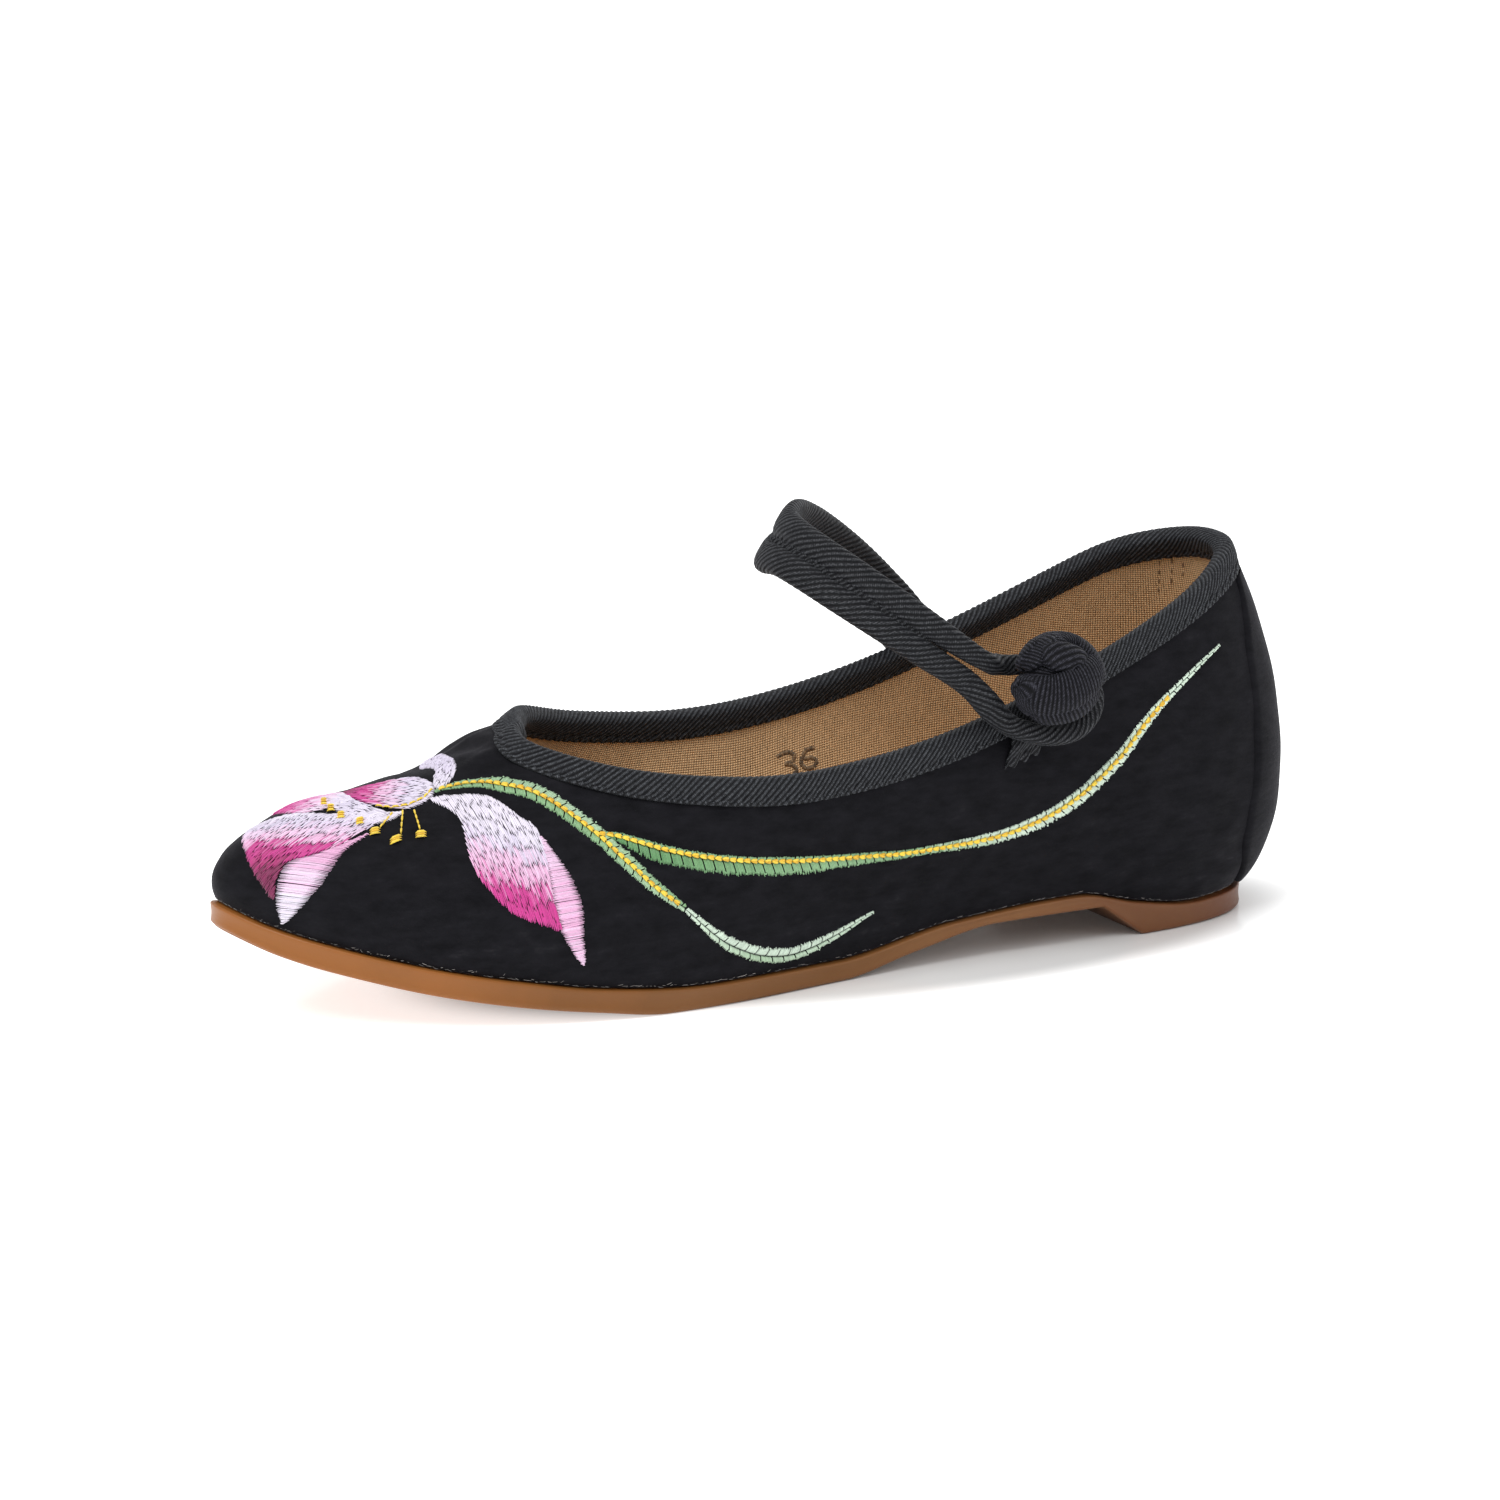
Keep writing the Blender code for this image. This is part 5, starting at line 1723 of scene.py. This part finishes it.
# The lotus: outlines picked in the photo's pixels; plan points, in
# millimetres from above, take over where the photo doesn't reach
petals = (
    {
        "pixels": (
            (430, 798), (484, 795), (516, 814), (538, 830), (547, 860), (554, 902), (562, 929),
            (546, 926), (521, 918), (503, 905), (484, 884), (473, 867), (468, 851), (461, 822),
            (449, 809)),
        "way": ((490, 820), (528, 892)),
        "shade": ((520, 800), (488, 922)),
        "stitch": 4.0,
        "bend": -0.05,
        "dyes": (
            (0.0, "white"), (0.28, "white"), (0.38, "lilac"), (0.48, "blush"), (0.62, "pink"),
            (0.68, "rose"), (0.73, "magenta"), (1.0, "magenta")),
        "ragged": 0.035,
    },
    {
        "pixels": (
            (539, 834), (556, 854), (572, 878), (583, 908), (584, 937), (586, 961), (582, 965),
            (570, 948), (560, 929), (552, 902), (546, 867)),
        "way": ((548, 888), (580, 882)),
        "shade": ((552, 880), (580, 880)),
        "pitch": 0.26,
        "seat": 0.06,
        "dyes": ((0.0, "blush"), (0.6, "pink"), (1.0, "blush")),
        "ragged": 0.2,
    },
    {
        "pixels": (
            (388, 814), (329, 814), (286, 815), (259, 825), (244, 835), (250, 865), (262, 885),
            (274, 900), (276, 880), (288, 862), (315, 854), (345, 843)),
        "way": ((330, 822), (262, 872)),
        "shade": ((316, 812), (298, 892)),
        "stitch": 3.6,
        "dyes": (
            (0.0, "white"), (0.16, "lilac"), (0.32, "blush"), (0.43, "pink"), (0.5, "magenta"),
            (0.6, "magenta"), (0.67, "wine"), (0.8, "maroon"), (1.0, "maroon")),
        "ragged": 0.04,
    },
    {
        "pixels": (
            (372, 832), (345, 843), (315, 854), (288, 862), (278, 881), (276, 902), (280, 922),
            (283, 924), (294, 916), (318, 889), (329, 873), (345, 851), (361, 840)),
        "way": ((284, 880), (316, 884)),
        "shade": ((290, 878), (318, 880)),
        "pitch": 0.26,
        "seat": 0.06,
        "dyes": ((0.0, "white"), (0.45, "blush"), (1.0, "pink")),
        "ragged": 0.14,
    },
    {
        "pixels": (
            (405, 812), (388, 812), (361, 803), (341, 795), (329, 805), (350, 818), (376, 824)),
        "way": ((400, 812), (340, 800)),
        "shade": ((400, 812), (335, 802)),
        "stitch": 3.6,
        "dyes": ((0.0, "white"), (1.0, "lilac")),
        "ragged": 0.1,
    },
    {
        "pixels": (
            (273, 815), (280, 808), (303, 799), (317, 797), (342, 793), (352, 800), (336, 806),
            (317, 811), (295, 814)),
        "way": ((335, 799), (286, 811)),
        "shade": ((345, 799), (278, 812)),
        "stitch": 3.4,
        "dyes": (
            (0.0, "white"), (0.35, "blush"), (0.6, "rose"), (0.75, "magenta"), (1.0, "magenta")),
        "ragged": 0.08,
    },
    {
        "pixels": (
            (341, 794), (366, 787), (404, 779), (420, 779), (432, 784), (433, 793), (428, 800),
            (409, 809), (382, 807), (361, 802)),
        "way": ((425, 792), (352, 795)),
        "shade": ((432, 790), (345, 795)),
        "stitch": 3.6,
        "seat": 0.08,
        "dyes": (
            (0.0, "white"), (0.3, "lilac"), (0.46, "blush"), (0.6, "pink"), (0.72, "magenta"),
            (0.84, "magenta"), (0.93, "maroon"), (1.0, "maroon")),
        "ragged": 0.05,
    },
    {
        "pixels": (
            (434, 778), (436, 771), (430, 768), (420, 769), (424, 763), (434, 757), (446, 755),
            (455, 762), (456, 771), (450, 781), (440, 789), (434, 786)),
        "way": ((437, 785), (450, 764)),
        "shade": ((437, 784), (452, 763)),
        "stitch": 3.6,
        "dyes": ((0.0, "white"), (1.0, "lilac")),
        "ragged": 0.1,
    },
)

stems = {
    # each line: u, v, upper and lower half width in millimetres
    "main": {
        "line": (
            (434, 793, 0.3, 0.3), (446, 788, 1.0, 0.9), (466, 784, 1.7, 1.5), (490, 783, 1.9, 1.7),
            (516, 787, 2.0, 1.9), (542, 796, 2.0, 1.9), (566, 811, 2.0, 1.9), (593, 831, 1.8, 1.8),
            (624, 859, 1.7, 1.6), (649, 882, 1.5, 1.4), (670, 898, 1.1, 1.1), (685, 908, 0.7, 0.8)),
        "dyes": (
            ((0.0, "leaf"), (0.5, "sage"), (1.0, "leaf")), ((0.0, "leaf"), (0.6, "leaf"), (1.0, "sage"))),
    },
    "tail": {
        "line": (
            (685, 909, 0.7, 0.5), (703, 925, 1.1, 0.9), (723, 941, 1.6, 1.2), (744, 951, 1.9, 1.4),
            (764, 956, 1.9, 1.4), (790, 955, 1.7, 1.4), (815, 946, 1.4, 1.2), (841, 932, 0.9, 0.8),
            (861, 919, 0.5, 0.5), (875, 911, 0.3, 0.3)),
        "dyes": (
            ((0.0, "mist"), (1.0, "mist")), ((0.0, "mist"), (0.4, "sage"), (1.0, "mist"))),
        "group": 9,
    },
    "branch": {
        "line": (
            (598, 834, 0.4, 0.5), (616, 836, 0.9, 1.2), (644, 844, 1.0, 2.9), (675, 852, 1.0, 3.0),
            (713, 858, 0.9, 3.1), (751, 861, 0.9, 3.0), (790, 861, 0.9, 2.9), (828, 859, 0.8, 2.3),
            (866, 856, 0.8, 1.7), (904, 853, 0.7, 1.2), (930, 849, 0.8, 1.1), (960, 844, 1.0, 1.3),
            (994, 837, 1.2, 1.6), (1033, 823, 1.3, 1.9), (1066, 805, 1.4, 2.0), (1099, 778, 1.4, 1.9),
            (1125, 750, 1.3, 1.6), (1145, 723, 1.1, 1.3), (1162, 703, 0.9, 1.0), (1182, 682, 0.7, 0.8),
            (1203, 661, 0.5, 0.5), (1220, 644, 0.3, 0.3)),
        "dyes": (
            ((0.0, "leaf"), (0.45, "leaf"), (0.5, "sage"), (0.56, "mist"), (1.0, "mist")),
            (
                (0.0, "moss"), (0.3, "leaf"), (0.46, "leaf"), (0.52, "sage"), (0.6, "mist"),
                (1.0, "mist"))),
    },
}


# Stamens: gold threads that end in small knots, and the gold lip of the petal
stamens = (
    # filament from, to in pixels
    (403, 810, 401, 834),
    (414, 810, 420, 830),
    (393, 813, 380, 828),
)
anthers = (
    # u, v and half length in pixels, with its lean to the right
    (396, 840, 6.0, 0.4),
    (421, 835, 5.6, 0.1),
    (375, 832, 5.4, 0.2),
    (360, 822, 4.6, 0.2),
    (341, 816, 4.4, 0.1),
    (331, 809, 4.0, 0.1),
    (324, 803, 3.6, 0.1),
)
goldLip = ((375, 807), (391, 809), (409, 806), (424, 799), (433, 790))


def between(start, end, share):
    return [first + (last - first) * share for first, last in zip(start, end)]


def sewStamens(skein):
    for u0, v0, u1, v1 in stamens:
        pieces = 4
        for index in range(pieces):
            ends = []
            for share in (index / pieces, (index + 1) / pieces):
                ends.append(castPixel(*between((u0, v0), (u1, v1), share)))
            color = tinted(dyes["gold"], 0.06)
            layStitch(skein, ends[0][0], ends[1][0], ends[0][1], 0.42 * mm, 0.4 * mm, color, seat=0.12 * mm)
    for u, v, reach, lean in anthers:
        for row in (-1.0, 0.0, 1.0):
            first, normal = castPixel(u - reach, v + 2.2 * row + reach * lean)
            last, _ = castPixel(u + reach, v + 2.2 * row - reach * lean)
            color = tinted(dyes["gold"] if row else dyes["amber"], 0.08)
            layStitch(skein, first, last, normal, 0.62 * mm, 0.5 * mm, color, seat=0.2 * mm)
    for start, end in zip(goldLip[:-1], goldLip[1:]):
        for share in (0.0, 0.5):
            first, normal = castPixel(*between(start, end, share))
            last, _ = castPixel(*between(start, end, share + 0.5))
            color = tinted(dyes["gold"], 0.07)
            layStitch(skein, first, last, normal, 0.45 * mm, 0.42 * mm, color, seat=0.34 * mm)


def buildEmbroidery():
    flower = Skein()
    for petal in petals:
        fillShape(flower, petal)
    addPiece("lotus_petals", skeinMesh("petals", flower), silkThread, "velvet")
    green = Skein()
    for stem in stems.values():
        sewStem(green, stem)
    addPiece("lotus_stems", skeinMesh("stems", green), silkThread, "velvet")
    gold = Skein()
    sewChain(gold, {"line": stems["main"]["line"], "from": 0.02, "to": 0.98})
    sewChain(gold, {"line": stems["branch"]["line"], "from": 0.0, "to": 0.885})
    sewStamens(gold)
    addPiece("lotus_gold", skeinMesh("gold", gold), silkThread, "velvet")
    print("stitches", len(flower.colors), len(green.colors), len(gold.colors))


buildEmbroidery()
print("embroidery sewn")


# Marks inside the shoe, picked in the photo's pixels, and loose fibres
liningTree = surfaceTree(canvasLining)
sizeStrokes = (
    # a plain size number, 36, printed on the lining
    ((777, 757), (783, 753), (790, 752), (795, 756), (792, 762), (785, 764)),
    ((785, 764), (793, 765), (797, 770), (793, 776), (784, 778)),
    (
        (815, 748), (807, 749), (802, 756), (801, 764), (806, 769),
        (814, 767), (817, 761), (812, 757), (804, 759)),
)
liningSeams = (
    # from u, v to u, v: rows of stitches beside the heel's seam
    (1160, 552, 1158, 596),
    (1172, 548, 1171, 588),
    (1183, 545, 1183, 580),
)


def printNumber():
    ink = Skein()
    for stroke in sizeStrokes:
        for start, end in zip(stroke[:-1], stroke[1:]):
            for part in range(3):
                ends = []
                for share in (part / 3 - 0.08, (part + 1) / 3 + 0.08):
                    place = []
                    for axis in range(2):
                        spot = start[axis] + (end[axis] - start[axis]) * share
                        place.append(spot + 0.25 * chance.normal())
                    ends.append(castPixel(place[0], place[1], liningTree))
                color = tinted((0.185, 0.115, 0.058), 0.30)
                layStitch(ink, ends[0][0], ends[1][0], ends[0][1], 1.0 * mm, 0.10 * mm, color, liningTree)
    addPiece("size_number", skeinMesh("number", ink), sewingThread, "canvas")


def sewLining():
    rows = Skein()
    for u0, v0, u1, v1 in liningSeams:
        first = castPixel(u0, v0, liningTree)[0]
        last = castPixel(u1, v1, liningTree)[0]
        count = int((last - first).length / (2.2 * mm))
        for index in range(count):
            start = first.lerp(last, index / count)
            end = first.lerp(last, (index + 0.62) / count)
            color = tinted((0.20, 0.12, 0.06), 0.10)
            normal = castPixel(u0 + (u1 - u0) * index / count, v0 + (v1 - v0) * index / count, liningTree)[1]
            layStitch(rows, start, end, normal, 0.35 * mm, 0.25 * mm, color, liningTree)
    addPiece("lining_stitches", skeinMesh("stitches", rows), sewingThread, "canvas")


# Pale fibres caught where the velvet goes under the sole's edge
def strewLint():
    lint = Skein()
    for turn in np.linspace(0.0, wholeTurn, 760, endpoint=False):
        if chance.random() < 0.25:
            continue
        reach = 0.0012 + 0.0032 * chance.random()
        share = 0.002 + 0.010 * chance.random() ** 2
        ends = skin(np.array([turn, turn + reach]), np.array([share, share + 0.005 * chance.normal()]))
        normal = Vector(wallNormal(np.array([turn]), np.array([share]))[0])
        color = tinted((0.20, 0.19, 0.18), 0.50)
        layStitch(lint, Vector(ends[0]), Vector(ends[1]), normal, 0.10 * mm, 0.10 * mm, color)
    addPiece("edge_lint", skeinMesh("lint", lint), sewingThread, "velvet")


printNumber()
sewLining()
strewLint()
print("number, lining stitches and lint laid")


# Pale floor with a painted glow, dimmed in an oval where the shoe stands as a painted shadow
stage = {
    "halfSide": 8.0,
    "low": -0.05 * mm,
    "shadeMiddle": (-70 * mm, -2 * mm),
    "shadeReach": (109 * mm, 49 * mm),
    "paintedShadowGlow": 0.02,
    "paintedGlowAround": 0.72,
}


def floorFinish():
    finish, shader = newFinish(
        "floor_white", (0.90, 0.90, 0.90), 0.14, Specular_IOR_Level=0.75,
        Emission_Color=(1.0, 1.0, 1.0, 1.0))
    place = node(finish, "TexCoord").outputs["Object"]
    parts = node(finish, "SeparateXYZ", None, Vector=place).outputs
    squares = []
    for part in range(2):
        away = sums(finish, "SUBTRACT", parts[part], stage["shadeMiddle"][part])
        squares.append(sums(finish, "POWER", sums(finish, "DIVIDE", away, stage["shadeReach"][part]), 2.0))
    away = sums(finish, "SQRT", sums(finish, "ADD", squares[0], squares[1]))
    # painted glow: the floor emits light, dimmed inside the oval under the shoe as a painted shadow
    glow = node(finish, "MapRange", {"interpolation_type": "SMOOTHSTEP"}, Value=away, i1=0.78, i2=1.07,
                i3=stage["paintedShadowGlow"], i4=stage["paintedGlowAround"]).outputs[0]
    link(finish, glow, shader, "Emission Strength")
    return finish


def buildStage():
    half = stage["halfSide"]
    low = stage["low"]
    mesh = bpy.data.meshes.new("floor")
    corners = [(-half, -half, low), (half, -half, low), (half, half, low), (-half, half, low)]
    mesh.from_pydata(corners, [], [(0, 1, 2, 3)])
    floor = bpy.data.objects.new("floor", mesh)
    bpy.context.collection.objects.link(floor)
    floor.data.materials.append(floorFinish())


studio = {
    "sky": 0.66,
    "lights": (
        # name, place, size, watts
        ("key", (-0.80, -0.30, 1.15), 0.8, 12.0),
        ("fill", (0.65, -0.95, 0.75), 0.8, 3.0),
        ("rim", (0.85, 0.55, 0.80), 0.6, 4.4),
    ),
}


def buildLights():
    world = bpy.data.worlds.new("studio")
    bpy.context.scene.world = world
    world.use_nodes = True
    world.node_tree.nodes["Background"].inputs["Color"].default_value = (1.0, 1.0, 1.0, 1.0)
    world.node_tree.nodes["Background"].inputs["Strength"].default_value = studio["sky"]
    aim = Vector((-0.08, 0.0, 0.03))
    for name, place, size, watts in studio["lights"]:
        data = bpy.data.lights.new(name, "AREA")
        data.size = size
        data.energy = watts
        lamp = bpy.data.objects.new(name, data)
        lamp.location = place
        lamp.rotation_mode = "QUATERNION"
        lamp.rotation_quaternion = (aim - Vector(place)).to_track_quat("-Z", "Y")
        bpy.context.collection.objects.link(lamp)
    settings = bpy.context.scene.view_settings
    settings.view_transform = "Standard"
    settings.look = "None"


buildStage()
buildLights()
print("stage and lights set")
